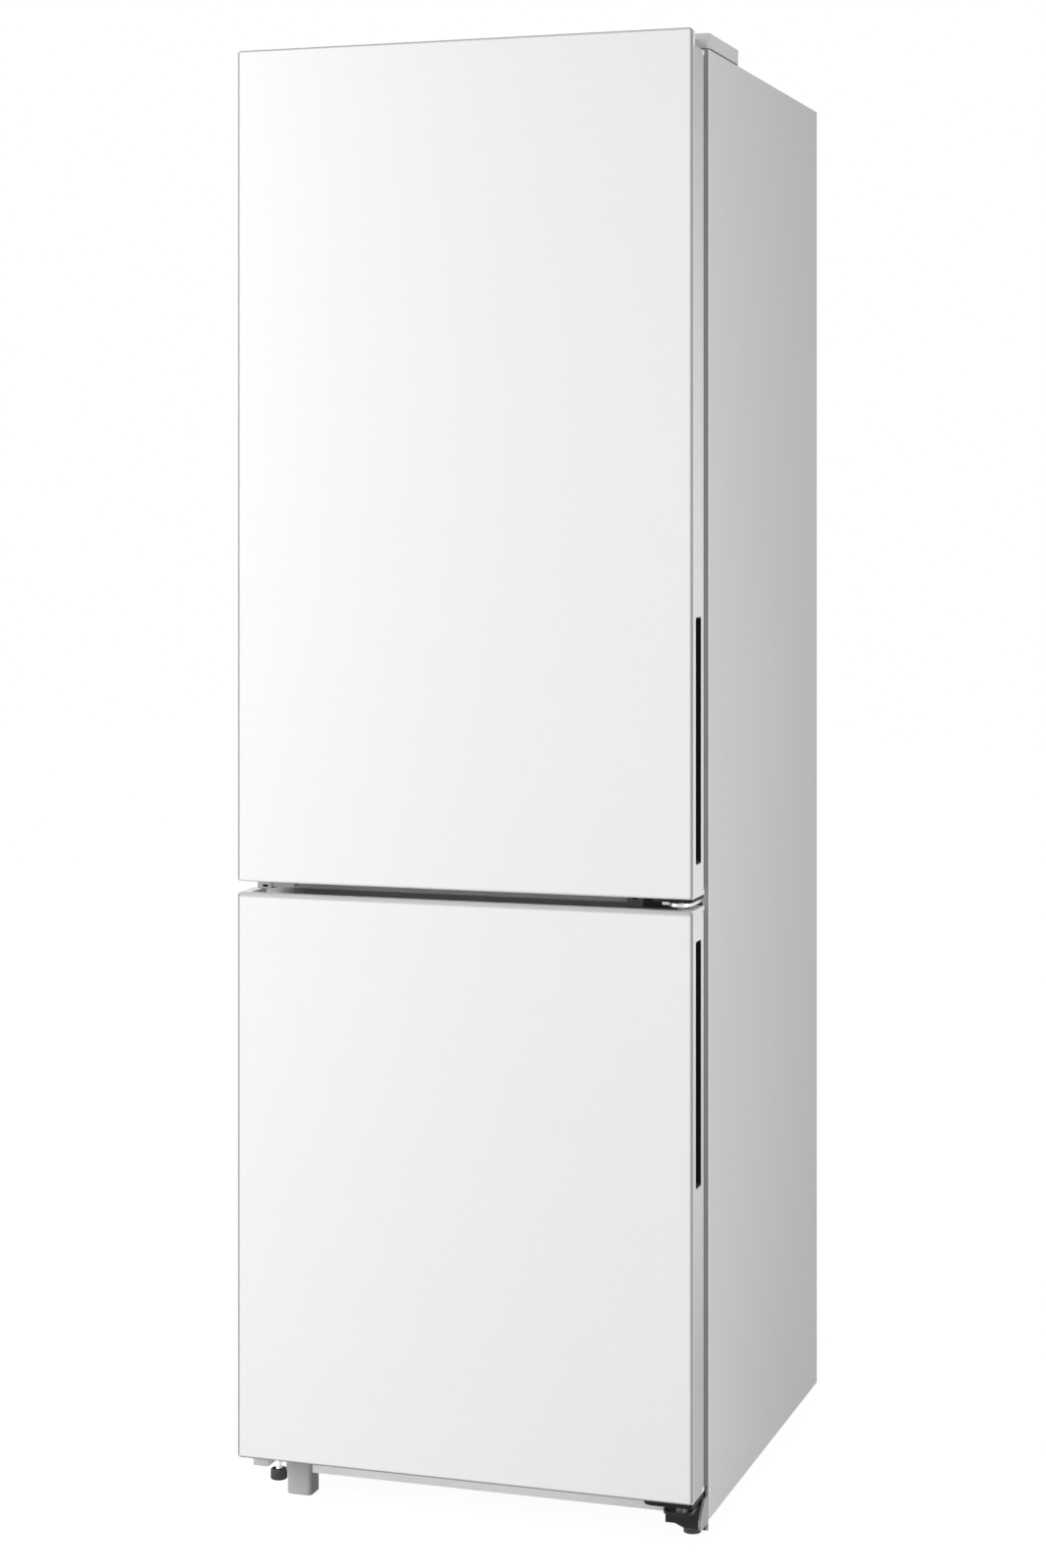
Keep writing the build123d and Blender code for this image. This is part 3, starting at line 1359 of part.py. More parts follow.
def control_set():
    """Control panel under the fridge ceiling, its two push buttons and the lamp lens."""
    front = shelf_front + panel_box_setback
    rear = front + panel_box_depth
    low = fridge_ceiling - panel_box_height
    box = block((-panel_half_width, panel_half_width), (front, rear), (low, fridge_ceiling))
    front_edge = box.edges().filter_by(Axis.X).group_by(Axis.Z)[0].sort_by(Axis.Y)[0]
    box = fillet(front_edge, panel_box_round)
    z = (low + fridge_ceiling) / 2 + button_rise
    gap = button_clearance
    key_rear = front + button_length
    pocket_rear = key_rear + button_travel + button_end_room
    keys = []
    for x in (-button_offset, button_offset):
        xs = (x - button_width / 2, x + button_width / 2)
        zs = (z - button_height / 2, z + button_height / 2)
        pocket_zs = (zs[0] - gap, zs[1] + gap)
        box = box - block((xs[0] - gap, xs[1] + gap), (front - cut_margin, pocket_rear), pocket_zs)
        key = block(xs, (front - button_proud, key_rear), zs)
        keys.append(fillet(key.faces().sort_by(Axis.Y)[0].edges(), button_round))
    lens_front = rear + lens_gap
    lens_depths = (lens_front, lens_front + lens_length)
    lens = block((-lens_half, lens_half), lens_depths, (fridge_ceiling - lens_height, fridge_ceiling))
    lens = fillet(lens.edges().group_by(Axis.Z)[0], lens_round)
    return {
        "control_panel": box,
        "control_button_left": keys[0],
        "control_button_right": keys[1],
        "lamp_lens": lens,
    }


def cold_parts():
    """Evaporator with its cover, air duct cover, lamp lens and control panel."""
    pieces = control_set()
    pieces["evaporator"] = evaporator()
    pieces["evaporator_cover"] = evaporator_cover()
    pieces["air_duct_cover"] = air_duct_cover()
    return pieces


def left_foot():
    """Faceted levelling knob with a sunk top, on its stud."""
    low = left_foot_lift
    high = low + left_foot_height
    spot = (left_foot_x, foot_depth)
    stud_top = pan_top + foot_stud_length
    outline = RegularPolygon(foot_radius, foot_sides)
    knob = Pos(left_foot_x, face_y + foot_depth, low) * extrude(outline, amount=left_foot_height)
    knob = chamfer(knob.edges().group_by(Axis.Z)[0], left_foot_bevel)
    sink_low = high - left_foot_recess
    knob = knob - upright(foot_radius - left_foot_rim, *spot, sink_low, high + cut_margin)
    return knob + upright(foot_stud_radius, *spot, sink_low - cut_margin, stud_top)


def right_foot():
    """Round levelling foot with a neck under the hinge bracket, on its stud."""
    spot = (right_foot_x, foot_depth)
    high = right_foot_height
    disc = upright(foot_radius, *spot, 0, high)
    disc = chamfer(disc.edges().group_by(Axis.Z)[-1], right_foot_bevel)
    neck_radius = foot_stud_radius + right_foot_neck_wall
    neck = upright(neck_radius, *spot, high - cut_margin, high + right_foot_neck_height)
    return disc + neck + upright(foot_stud_radius, *spot, high, pan_top + foot_stud_length)


def leg_block():
    """Fixed leg block beside the left foot, rounded at its inner front edge."""
    front = cabinet_front - leg_block_reach
    rear = cabinet_front + leg_block_depth
    xs = (leg_block_x, leg_block_x + leg_block_width)
    leg = block(xs, (front, rear), (0, cabinet_bottom))
    leg = leg + block(xs, (front, cabinet_front), (0, lower_door_bottom - leg_block_head))
    inner_edge = leg.edges().filter_by(Axis.Z).group_by(Axis.Y)[0].sort_by(Axis.X)[-1]
    leg = fillet(inner_edge, leg_block_round)
    return chamfer(leg.edges().group_by(Axis.Z)[0], leg_block_bevel)


def feet():
    """Levelling feet at the front and the fixed leg block beside the left one."""
    return {
        "front_left_foot": left_foot(),
        "front_right_foot": right_foot(),
        "front_leg_block": leg_block(),
    }


def all_pieces():
    """Every piece of the refrigerator by node name."""
    pieces = {}
    for group in (
        cabinet_shell,
        liners,
        hinge_set,
        fridge_door,
        freezer_door,
        shelves,
        crispers,
        freezer_drawers,
        machine_room,
        fans,
        cold_parts,
        feet,
    ):
        pieces.update(group())
    return pieces


os.makedirs("parts", exist_ok=True)
for node, piece in all_pieces().items():
    shapes = piece if isinstance(piece, list) else [piece]
    bodies = [solid for shape in shapes for solid in shape.solids()]
    export_step(Compound(bodies), os.path.join("parts", node + ".step"))
    print(node, len(bodies))
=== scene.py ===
"""Studio scene of a white bottom-freezer refrigerator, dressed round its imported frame."""
import math

import bmesh
import bpy
import numpy as np
from bpy.props import FloatProperty, FloatVectorProperty, IntProperty, PointerProperty
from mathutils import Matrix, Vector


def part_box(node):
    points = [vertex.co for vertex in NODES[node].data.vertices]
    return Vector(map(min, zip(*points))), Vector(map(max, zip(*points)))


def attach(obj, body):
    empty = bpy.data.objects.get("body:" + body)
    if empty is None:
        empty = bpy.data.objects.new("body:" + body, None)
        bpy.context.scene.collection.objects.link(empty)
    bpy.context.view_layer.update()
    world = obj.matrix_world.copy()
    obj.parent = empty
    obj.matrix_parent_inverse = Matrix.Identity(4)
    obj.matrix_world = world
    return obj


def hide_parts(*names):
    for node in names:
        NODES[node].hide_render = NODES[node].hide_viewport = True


bl_info = {
    "name": "White Refrigerator Studio",
    "version": (1, 0, 0),
    "blender": (4, 5, 0),
    "location": "3D View > Sidebar > Refrigerator",
    "description": "Finishes, door seals, rear panel and studio for a bottom-freezer refrigerator",
    "category": "Object",
}

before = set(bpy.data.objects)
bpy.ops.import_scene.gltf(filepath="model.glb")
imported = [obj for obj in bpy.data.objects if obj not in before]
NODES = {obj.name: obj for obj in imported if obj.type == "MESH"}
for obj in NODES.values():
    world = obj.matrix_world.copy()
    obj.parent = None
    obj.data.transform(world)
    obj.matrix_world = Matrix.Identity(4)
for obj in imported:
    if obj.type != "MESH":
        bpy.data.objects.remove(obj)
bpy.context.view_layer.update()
MM = 0.001
SHARP_EDGE = math.radians(40.0)
# Height below which the strip between the doors takes painted shade, with painted light above it.
STRIP_SHADE_LINE = 0.7806
# Height at which the painted light on the doors' side trims is brightest.
TRIM_LIGHT_HEIGHT = 0.82
# Right end of the screw tab on the middle bracket.
TAB_END = 0.2145
# Slot of black painted shade in the lug under the upper door: its width, depth and height ranges.
LUG_SLOT = ((-0.2754, -0.2678), (-0.3142, -0.3070), (0.7874, 0.7906))
FLOOR_HALF = 12.0
FLOOR_DROP = 0.0005
# Place, target and size of each lamp.
LAMPS = {
    "key": ((-1.9, -1.9, 2.10), (0.0, -0.34, 1.50), (1.2, 2.2)),
    "side": ((1.3, -0.80, 1.05), (0.3, -0.3, 1.0), (0.6, 2.6)),
    "low": ((-2.0, -1.7, 0.50), (-0.1, -0.34, 0.45), (1.0, 0.9)),
}


def colour_property(name, description, default):
    """A colour that a user may change."""
    return FloatVectorProperty(
        name=name, description=description, default=default, size=3, min=0.0, max=1.0, subtype="COLOR"
    )


def length_property(name, description, default):
    """A length in metres that a user may change."""
    return FloatProperty(name=name, description=description, default=default, unit="LENGTH", precision=4)


class RefrigeratorColours(bpy.types.PropertyGroup):
    """Colours of the finishes."""

    door_white: colour_property("Door white", "Face of both door panels", (0.84, 0.84, 0.84))
    # Painted shade on the door panels' rounded rims, on the lower door's head band and on the panels' side faces.
    rim_painted_shade: colour_property("Door rim", "Rounded rim of each door panel", (0.42, 0.42, 0.42))
    head_painted_shade: colour_property("Door head", "Rounded upper rim of the lower door panel", (0.52, 0.52, 0.52))
    side_painted_shade: colour_property("Door edge", "Side faces of each door panel", (0.32, 0.32, 0.32))
    trim_white: colour_property("Trim white", "Side trims and end caps of the doors", (0.93, 0.93, 0.93))
    case_white: colour_property("Case white", "Painted sides and top", (0.76, 0.76, 0.76))
    base_white: colour_property("Base white", "Painted floor sheet and front rail", (0.97, 0.97, 0.97))
    # Painted highlight on the rounded front edges of the case and trims; also the colour of the left foot's plated
    # stud.
    highlight_and_stud_white: colour_property("Edge white", "Rounded front edge of the case and trims", (0.95, 0.95, 0.95))
    # Painted shade on the side trims towards their ends.
    trim_painted_shade: colour_property("Trim dim", "Side trims towards their ends", (0.52, 0.52, 0.52))
    # Painted shade on the case's front flange.
    flange_painted_shade: colour_property("Frame grey", "Front flange of the case", (0.42, 0.42, 0.42))
    # Painted light and painted shade on the strip between the doors; the darker one also greys the screw tab of
    # the middle bracket.
    strip_painted_light: colour_property("Strip pale", "Upper part of the strip between the doors", (0.95, 0.95, 0.95))
    strip_shade_and_tab_grey: colour_property("Strip dark", "Lower part of the strip between the doors", (0.30, 0.30, 0.30))
    liner_white: colour_property("Liner white", "Moulded inside of the cabinet and doors", (0.82, 0.83, 0.83))
    seal_grey: colour_property("Seal grey", "Soft door seals", (0.50, 0.50, 0.49))
    grip_black: colour_property("Grip black", "Recessed grips and door stops", (0.006, 0.006, 0.006))
    hinge_steel: colour_property("Hinge steel", "Plated hinge arms", (0.84, 0.84, 0.84))
    hinge_black: colour_property("Hinge black", "Painted hinge plates", (0.018, 0.018, 0.019))
    # Painted light on the side ear of the bottom bracket.
    ear_painted_light: colour_property("Hinge grey", "Side ear of the bottom bracket", (0.34, 0.34, 0.35))
    cover_white: colour_property("Cover white", "Cap over the top hinge", (0.66, 0.66, 0.66))
    leg_grey: colour_property("Leg grey", "Fixed leg block", (0.55, 0.55, 0.56))
    foot_dark: colour_property("Foot dark", "Levelling feet and rollers", (0.045, 0.045, 0.047))
    foam_cream: colour_property("Foam cream", "Filling of cabinet and doors", (0.78, 0.70, 0.48))
    rear_zinc: colour_property("Rear zinc", "Zinc-coated rear sheets", (0.60, 0.61, 0.62))
    drawer_tint: colour_property("Drawer tint", "Clear drawers and door bins", (0.80, 0.86, 0.88))
    glass_tint: colour_property("Glass tint", "Shelf glass", (0.80, 0.91, 0.88))
    bright_steel: colour_property("Bright steel", "Hinge pins and screws", (0.78, 0.78, 0.79))
    lamp_white: colour_property("Lamp white", "Cover of the inner lamp", (0.92, 0.92, 0.89))
    button_grey: colour_property("Button grey", "Buttons of the control panel", (0.40, 0.42, 0.44))
    compressor_black: colour_property("Compressor black", "Painted compressor shell", (0.02, 0.02, 0.02))
    mount_black: colour_property("Mount black", "Rubber feet of the compressor", (0.03, 0.03, 0.03))
    coil_grey: colour_property("Coil grey", "Condenser and evaporator", (0.70, 0.71, 0.72))
    fan_black: colour_property("Fan black", "Fans, their motors and the drip pan", (0.05, 0.05, 0.052))


class RefrigeratorSeals(bpy.types.PropertyGroup):
    """Section of the soft door seals."""

    foot_half: length_property("Foot half width", "Half the width of the bead on the door", 0.0070)
    neck_half: length_property("Neck half width", "Mean half width of the folded neck", 0.0046)
    fold_depth: length_property("Fold depth", "How far the folds stand out of the neck", 0.0017)
    fold_count: IntProperty(name="Folds", description="Folds along the neck", default=3, min=1, max=8)
    magnet_half: length_property("Magnet half width", "Half the width of the flat bead", 0.0084)


class RefrigeratorRear(bpy.types.PropertyGroup):
    """Stamped fields of the rear panel."""

    field_depth: length_property("Field depth", "How far the stamped fields go in", 0.0010)
    field_margin: length_property("Field margin", "Flat border round the fields", 0.045)
    field_gap: length_property("Field gap", "Flat bar between two fields", 0.036)
    slope_width: length_property("Slope width", "Width of the sloped edge of a field", 0.003)
    field_corner: length_property("Field corner", "Corner radius of a field", 0.030)
    field_rows: IntProperty(name="Field rows", description="Fields above each other", default=3, min=1, max=8)


class RefrigeratorFoot(bpy.types.PropertyGroup):
    """Ridged knob of the left levelling foot."""

    ridge_count: IntProperty(name="Ridges", description="Ridges round the knob", default=20, min=6, max=60)
    ridge_depth: length_property("Ridge depth", "Depth of the grooves", 0.0009)


class RefrigeratorStage(bpy.types.PropertyGroup):
    """Floor, lamps and camera."""

    key_power: FloatProperty(
        name="Key power", description="Power of the large left lamp", default=51.0, min=0.0, unit="POWER"
    )
    side_power: FloatProperty(
        name="Side power", description="Power of the lamp at the right", default=7.6, min=0.0, unit="POWER"
    )
    low_power: FloatProperty(
        name="Low power", description="Power of the low lamp at the left", default=12.0, min=0.0, unit="POWER"
    )
    ambient: FloatProperty(
        name="Ambient", description="Strength of the even light from all round", default=0.37, min=0.0, max=2.0
    )
    floor_white: colour_property("Floor white", "Pale studio floor", (0.90, 0.90, 0.90))
    camera_place: FloatVectorProperty(
        name="Camera place", description="Where the camera stands", default=(1.22109, -3.79899, 1.26484),
        size=3, subtype="TRANSLATION", unit="LENGTH",
    )
    camera_turn: FloatProperty(
        name="Camera turn", description="Turn of the camera about the upright", default=0.3181, unit="ROTATION"
    )
    camera_lens: FloatProperty(
        name="Camera lens", description="Focal length in millimetres", default=68.069, min=1.0
    )
    camera_rise: FloatProperty(
        name="Camera rise", description="Upright shift as a share of the picture's long side", default=-0.17352
    )


class Value:
    """A number in a shader. Arithmetic on it adds Math nodes."""

    def __init__(self, tree, socket):
        self.tree = tree
        self.socket = socket

    def math(self, operation, *others, swap=False):
        """One Math node on this value and the others."""
        node = self.tree.nodes.new("ShaderNodeMath")
        node.operation = operation
        values = [self, *others]
        if swap:
            values.reverse()
        for socket, value in zip(node.inputs, values):
            if isinstance(value, Value):
                self.tree.links.new(value.socket, socket)
            else:
                socket.default_value = value
        return Value(self.tree, node.outputs[0])

    def __add__(self, other):
        return self.math("ADD", other)

    __radd__ = __add__

    def __mul__(self, other):
        return self.math("MULTIPLY", other)

    __rmul__ = __mul__

    def __sub__(self, other):
        return self.math("SUBTRACT", other)

    def __rsub__(self, other):
        return self.math("SUBTRACT", other, swap=True)

    def __truediv__(self, other):
        return self.math("DIVIDE", other)

    def __neg__(self):
        return self * -1.0

    def __abs__(self):
        return self.math("ABSOLUTE")

    def most(self, other):
        """The larger of two values."""
        return self.math("MAXIMUM", other)

    def least(self, other):
        """The smaller of two values."""
        return self.math("MINIMUM", other)

    def step(self, low, high):
        """0 below low, 1 above high and a straight rise between them."""
        return ((self - low) / (high - low)).most(0.0).least(1.0)

    def within(self, low, high, soft=0.0002):
        """1 between low and high, with soft ends outside them."""
        return self.step(low - soft, low) * (1.0 - self.step(high, high + soft))


class Shading:
    """An emptied node tree that is filled node by node."""

    def __init__(self, tree):
        self.tree = tree
        tree.nodes.clear()

    def node(self, kind, settings=None, inputs=None):
        """A node of one type with its settings, then the values or links of its sockets."""
        made = self.tree.nodes.new("ShaderNode" + kind)
        for key, value in (settings or {}).items():
            setattr(made, key, value)
        for key, value in (inputs or {}).items():
            self.feed(made.inputs[key], value)
        return made

    def feed(self, socket, value):
        """Links a value or a socket, or sets a constant."""
        if isinstance(value, Value):
            self.tree.links.new(value.socket, socket)
        elif isinstance(value, bpy.types.NodeSocket):
            self.tree.links.new(value, socket)
        elif isinstance(value, (tuple, list)) and socket.type == "RGBA":
            socket.default_value = (*value[:3], 1.0)
        else:
            socket.default_value = value

    def rays(self, first, *others):
        """1 for a ray of one of these kinds, else 0."""
        path = self.node("LightPath")
        seen = Value(self.tree, path.outputs[f"Is {first} Ray"])
        for kind in others:
            seen = seen.most(Value(self.tree, path.outputs[f"Is {kind} Ray"]))
        return seen


class Finish(Shading):
    """A material with one Principled shader, built from values, mixes and textures."""

    def __init__(self, name, **constants):
        self.material = bpy.data.materials.new(name)
        self.material.use_nodes = True
        super().__init__(self.material.node_tree)
        self.place = self.node("TexCoord").outputs["Object"]
        self.shader = self.node("BsdfPrincipled", inputs=constants)
        self.out = self.node("OutputMaterial", inputs={"Surface": self.shader.outputs[0]})

    def set(self, **values):
        """Feeds the shader's own sockets, underscores standing for spaces."""
        for key, value in values.items():
            self.feed(self.shader.inputs[key.replace("_", " ").title()], value)
        return self

    def axes(self):
        """Object coordinates as three values."""
        split = self.node("SeparateXYZ", inputs={0: self.place})
        return [Value(self.tree, output) for output in split.outputs]

    def stretched(self, scale):
        """Object coordinates scaled along each axis, for grain that runs one way."""
        return self.node("Mapping", inputs={"Vector": self.place, "Scale": scale}).outputs[0]

    def noise(self, scale, detail=2.0, vector=None):
        """Soft noise from 0 to 1 with scale waves to the metre."""
        inputs = {"Vector": vector or self.place, "Scale": scale, "Detail": detail, "Roughness": 0.55}
        return Value(self.tree, self.node("TexNoise", inputs=inputs).outputs[0])

    def cells(self, scale, output="Color"):
        """Cells of even tone with scale cells to the metre."""
        made = self.node("TexVoronoi", {"feature": "F1"}, {"Vector": self.place, "Scale": scale})
        return Value(self.tree, made.outputs[output])

    def mix(self, share, first, second):
        """A colour between two."""
        made = self.node("Mix", {"data_type": "RGBA"}, {"Factor": share})
        self.feed(made.inputs[6], first)
        self.feed(made.inputs[7], second)
        return made.outputs[2]

    def tint(self, share, colour):
        """Lays a colour over the base colour where share is 1."""
        under = self.shader.inputs["Base Color"].links[0].from_socket
        return self.set(base_color=self.mix(share, under, colour[:]))

    def bump(self, height, distance, strength=1.0):
        """Relief of a height value, distance in metres."""
        inputs = {"Height": height, "Distance": distance, "Strength": strength}
        self.set(normal=self.node("Bump", inputs=inputs).outputs[0])
        return self


def shade(colour, factor):
    """A colour made darker or lighter."""
    return tuple(min(1.0, channel * factor) for channel in colour)


def dress(finish, *nodes):
    """Gives CAD nodes a finish."""
    for node in nodes:
        NODES[node].data.materials.clear()
        NODES[node].data.materials.append(finish.material)


def moulded(name, colour, rough=0.42, grain=1400.0, depth=0.00006, drift=0.03, **constants):
    """Moulded plastic: a fine even grain, and a faint drift of tone over the piece."""
    finish = Finish(name, **constants)
    tone = finish.noise(5.0, 3.0)
    fine = finish.noise(grain, 3.0)
    finish.set(base_color=finish.mix(tone, shade(colour, 1.0 - drift), shade(colour, 1.0 + drift)))
    finish.set(roughness=rough - 0.05 + fine * 0.06 + tone * 0.04)
    return finish.bump(fine, depth, 0.5)


def painted(name, colour, rough=0.36, peel=330.0, depth=0.00012, drift=0.02, **constants):
    """Baked paint on sheet metal: orange-peel waves and a faint drift of tone."""
    finish = Finish(name, **constants)
    tone = finish.noise(2.5, 2.0)
    waves = finish.noise(peel, 1.0)
    finish.set(base_color=finish.mix(tone, shade(colour, 1.0 - drift), shade(colour, 1.0 + drift)))
    finish.set(roughness=rough - 0.03 + waves * 0.06)
    return finish.bump(waves, depth, 0.35)


def plated(name, colour, rough=0.24, stretch=(40.0, 40.0, 2200.0)):
    """Plated or polished steel: hairlines along one way and cloudy gloss."""
    finish = Finish(name, Metallic=1.0)
    hair = finish.noise(1.0, 3.0, finish.stretched(stretch))
    cloud = finish.noise(45.0, 3.0)
    finish.set(base_color=finish.mix(cloud, shade(colour, 0.92), shade(colour, 1.06)))
    finish.set(roughness=rough - 0.06 + hair * 0.08 + cloud * 0.06)
    return finish.bump(hair, 0.00002, 0.4)


def zinc_sheet(name, colour):
    """Zinc-coated sheet: crystal cells of differing tone and gloss."""
    finish = Finish(name, Metallic=0.55)
    cells = finish.cells(70.0)
    cloud = finish.noise(8.0, 4.0)
    share = cells * 0.7 + cloud * 0.3
    finish.set(base_color=finish.mix(share, shade(colour, 0.86), shade(colour, 1.10)))
    finish.set(roughness=0.40 + cells * 0.14)
    return finish.bump(finish.noise(260.0, 2.0), 0.00005, 0.3)


def stamped_zinc(name, node, colour, depth):
    """Zinc sheet with painted shade on the sloped edges of its stamped fields."""
    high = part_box(node)[1]
    finish = zinc_sheet(name, colour)
    y = finish.axes()[1]
    return finish.tint(y.within(high.y - depth * 0.85, high.y - depth * 0.15), shade(colour, 0.6))


def rubber(name, colour, rough=0.62):
    """Soft rubber: a dull skin with fine pores and dusty patches."""
    finish = Finish(name)
    dust = finish.noise(28.0, 4.0)
    pores = finish.noise(1900.0, 2.0)
    finish.set(base_color=finish.mix(dust, shade(colour, 0.92), shade(colour, 1.10)))
    finish.set(roughness=rough + dust * 0.12)
    return finish.bump(pores, 0.00005, 0.5)


def clear_plastic(name, colour, alpha):
    """Clear moulded plastic: see-through, denser and duller in cloudy patches."""
    finish = Finish(name, IOR=1.5)
    cloud = finish.noise(6.0, 3.0)
    fine = finish.noise(900.0, 2.0)
    finish.set(base_color=finish.mix(cloud, shade(colour, 0.96), shade(colour, 1.04)))
    finish.set(roughness=0.10 + cloud * 0.08 + fine * 0.03)
    finish.set(alpha=alpha + cloud * 0.12)
    return finish.bump(fine, 0.00003, 0.3)


def foam(name, colour):
    """Blown foam: open cells and yellowed patches."""
    finish = Finish(name)
    patches = finish.noise(7.0, 4.0)
    pores = finish.cells(650.0, "Distance")
    finish.set(base_color=finish.mix(patches, shade(colour, 0.86), shade(colour, 1.05)))
    finish.set(roughness=0.85 + patches * 0.1)
    return finish.bump(pores, 0.0006, 0.8)


def door_face(name, node, colours, head_width, head_shade_colour, foot_light_and_shade):
    """Flat white panel with a thin coat, with painted shade on its rounded rim and head, deeper painted shade on
    its left rim and darkest painted shade on its side faces; its bottom rim takes the given foot colour, painted
    light on the upper door and painted shade on the lower.
    """
    low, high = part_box(node)
    finish = Finish(name, **{"Coat Roughness": 0.22, "Specular IOR Level": 0.25})
    x, _, z = finish.axes()
    half = high.x
    rim_width, crest = 3.4 * MM, 0.85 * MM
    sides = abs(x).step(half - rim_width, half - crest)
    foot = 1.0 - z.step(low.z + crest, low.z + rim_width)
    head = z.step(high.z - head_width, high.z - head_width + rim_width - crest)
    left = (-x).step(half - rim_width, half - rim_width * 0.6)
    edge = abs(x).step(half - 0.6 * MM, half - 0.2 * MM)
    rim = sides.most(foot).most(head)
    tone = finish.noise(1.6, 2.0)
    fine = finish.noise(520.0, 1.0)
    white = finish.mix(tone, shade(colours.door_white, 0.994), shade(colours.door_white, 1.006))
    finish.set(base_color=white, roughness=0.30 + fine * 0.05 + rim * 0.2, coat_weight=0.1 - rim * 0.08)
    # Painted shade on the head, the rounded sides, the left rim and the side faces; painted light or painted shade
    # on the bottom rim, as the caller gives it.
    finish.tint(head, head_shade_colour).tint(foot, foot_light_and_shade).tint(sides, colours.rim_painted_shade)
    finish.tint(left, shade(colours.rim_painted_shade, 0.45)).tint(edge, colours.side_painted_shade)
    return finish.bump(fine, 0.00003, 0.15)


def case_paint(name, node, colours):
    """White paint on the case, with painted shade on its front flange and a painted highlight on its rounded front
    edge.
    """
    low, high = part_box(node)
    finish = painted(name, colours.case_white, rough=0.5, **{"Specular IOR Level": 0.3})
    x, y = finish.axes()[:2]
    outside = abs(x).step(high.x - 1.1 * MM, high.x - 0.7 * MM)
    flange = 1.0 - y.step(low.y + 0.2 * MM, low.y + 0.6 * MM)
    finish.tint(outside * (1.0 - y.step(low.y + 1.3 * MM, low.y + 1.7 * MM)), colours.highlight_and_stud_white)
    return finish.tint(flange * (1.0 - outside), colours.flange_painted_shade)


def strip_paint(name, colours, split):
    """Painted strip between the doors, with painted light above a line and painted shade below it."""
    finish = painted(name, colours.strip_painted_light, rough=0.45, drift=0.05)
    z = finish.axes()[2]
    return finish.tint(1.0 - z.step(split - 0.4 * MM, split + 0.4 * MM), colours.strip_shade_and_tab_grey)


def trim_plastic(name, node, colours, crest):
    """White side trim with a painted highlight on its front line, painted light round one height and painted shade
    towards its ends.
    """
    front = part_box(node)[0].y
    upper_reach, fade_start, fade_end = 1.02, 0.1, 0.6
    finish = moulded(name, colours.trim_white, rough=0.40)
    y, z = finish.axes()[1:]
    rise = (z - crest).most(0.0) / upper_reach
    finish.tint((rise * rise).most((crest - z).step(fade_start, fade_end)), colours.trim_painted_shade)
    return finish.tint(1.0 - y.step(front + 3.5 * MM, front + 4.5 * MM), colours.highlight_and_stud_white)


def cap_plastic(name, panel, colours, slot):
    """White end caps, with painted shade on the lug that hangs below the panel and black painted shade standing in
    for a slot in the lug.

    The slot is a box of width, depth and height ranges.
    """
    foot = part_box(panel)[0].z
    finish = moulded(name, colours.trim_white, rough=0.40)
    axes = finish.axes()
    finish.tint(1.0 - axes[2].step(foot - 0.5 * MM, foot - 0.1 * MM), shade(colours.trim_white, 0.62))
    across, along, upward = [axis.within(*ends) for axis, ends in zip(axes, slot)]
    return finish.tint(across * along * upward, colours.grip_black)


def cover_plastic(name, node, colours):
    """White hinge cap standing on a drawn-in seat with painted shadow on it."""
    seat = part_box(node)[0].z
    finish = moulded(name, colours.cover_white, rough=0.40)
    z = finish.axes()[2]
    return finish.tint(1.0 - z.step(seat + 1.0 * MM, seat + 1.3 * MM), colours.hinge_black)


def arm_and_plate(name, node, colours, tab_end):
    """Bright plated arm on an upright plate in black paint, with a grey screw tab at its left."""
    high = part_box(node)[1]
    finish = plated(name, colours.hinge_steel, rough=0.30)
    x, y = finish.axes()[:2]
    plate = y.step(high.y - 3.4 * MM, high.y - 3.0 * MM) * (1.0 - x.step(high.x - 1.2 * MM, high.x - 0.8 * MM))
    finish.set(metallic=1.0 - plate).tint(plate, colours.hinge_black)
    return finish.tint(plate * (1.0 - x.step(tab_end - 0.5 * MM, tab_end)), colours.strip_shade_and_tab_grey)


def screw_steel(name, node, colours):
    """Bright plated screws, in black paint where they hold one bracket."""
    low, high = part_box(node)
    finish = plated(name, colours.bright_steel, rough=0.16)
    dark = finish.axes()[2].within(low.z, high.z)
    return finish.set(metallic=1.0 - dark).tint(dark, colours.hinge_black)


def base_bracket(name, node, colours):
    """Black bracket with painted light on its side ear."""
    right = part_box(node)[1].x
    finish = painted(name, colours.hinge_black, rough=0.30, drift=0.12, **{"Specular IOR Level": 0.25})
    x = finish.axes()[0]
    return finish.tint(x.step(right - 3.2 * MM, right - 2.8 * MM), colours.ear_painted_light)


def ringed_foot(name, node, colours):
    """Dark foot with a painted highlight ring on its upper edge."""
    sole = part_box(node)[0].z
    finish = moulded(name, colours.foot_dark, rough=0.50, drift=0.12)
    z = finish.axes()[2]
    ring = z.step(sole + 6.2 * MM, sole + 6.6 * MM) * (1.0 - z.step(sole + 8.1 * MM, sole + 8.4 * MM))
    return finish.tint(ring, colours.leg_grey)


def leg_plastic(name, node, colours):
    """Grey leg block with painted shade towards its top under the door and on its right side."""
    low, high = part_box(node)
    finish = moulded(name, colours.leg_grey, rough=0.58, grain=900.0)
    x, _, z = finish.axes()
    finish.tint(z.step(low.z, high.z) * 0.8, shade(colours.leg_grey, 0.62))
    return finish.tint(x.step(high.x - 5.0 * MM, high.x - 0.5 * MM) * 0.8, shade(colours.leg_grey, 0.35))


def knob_plastic(name, node, colours):
    """Dark knob on a bright plated stud."""
    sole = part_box(node)[0].z
    finish = moulded(name, colours.foot_dark, rough=0.50, drift=0.12)
    stud = finish.axes()[2].step(sole + 13.7 * MM, sole + 14.1 * MM)
    return finish.set(metallic=stud, roughness=0.5 - stud * 0.25).tint(stud, colours.highlight_and_stud_white)


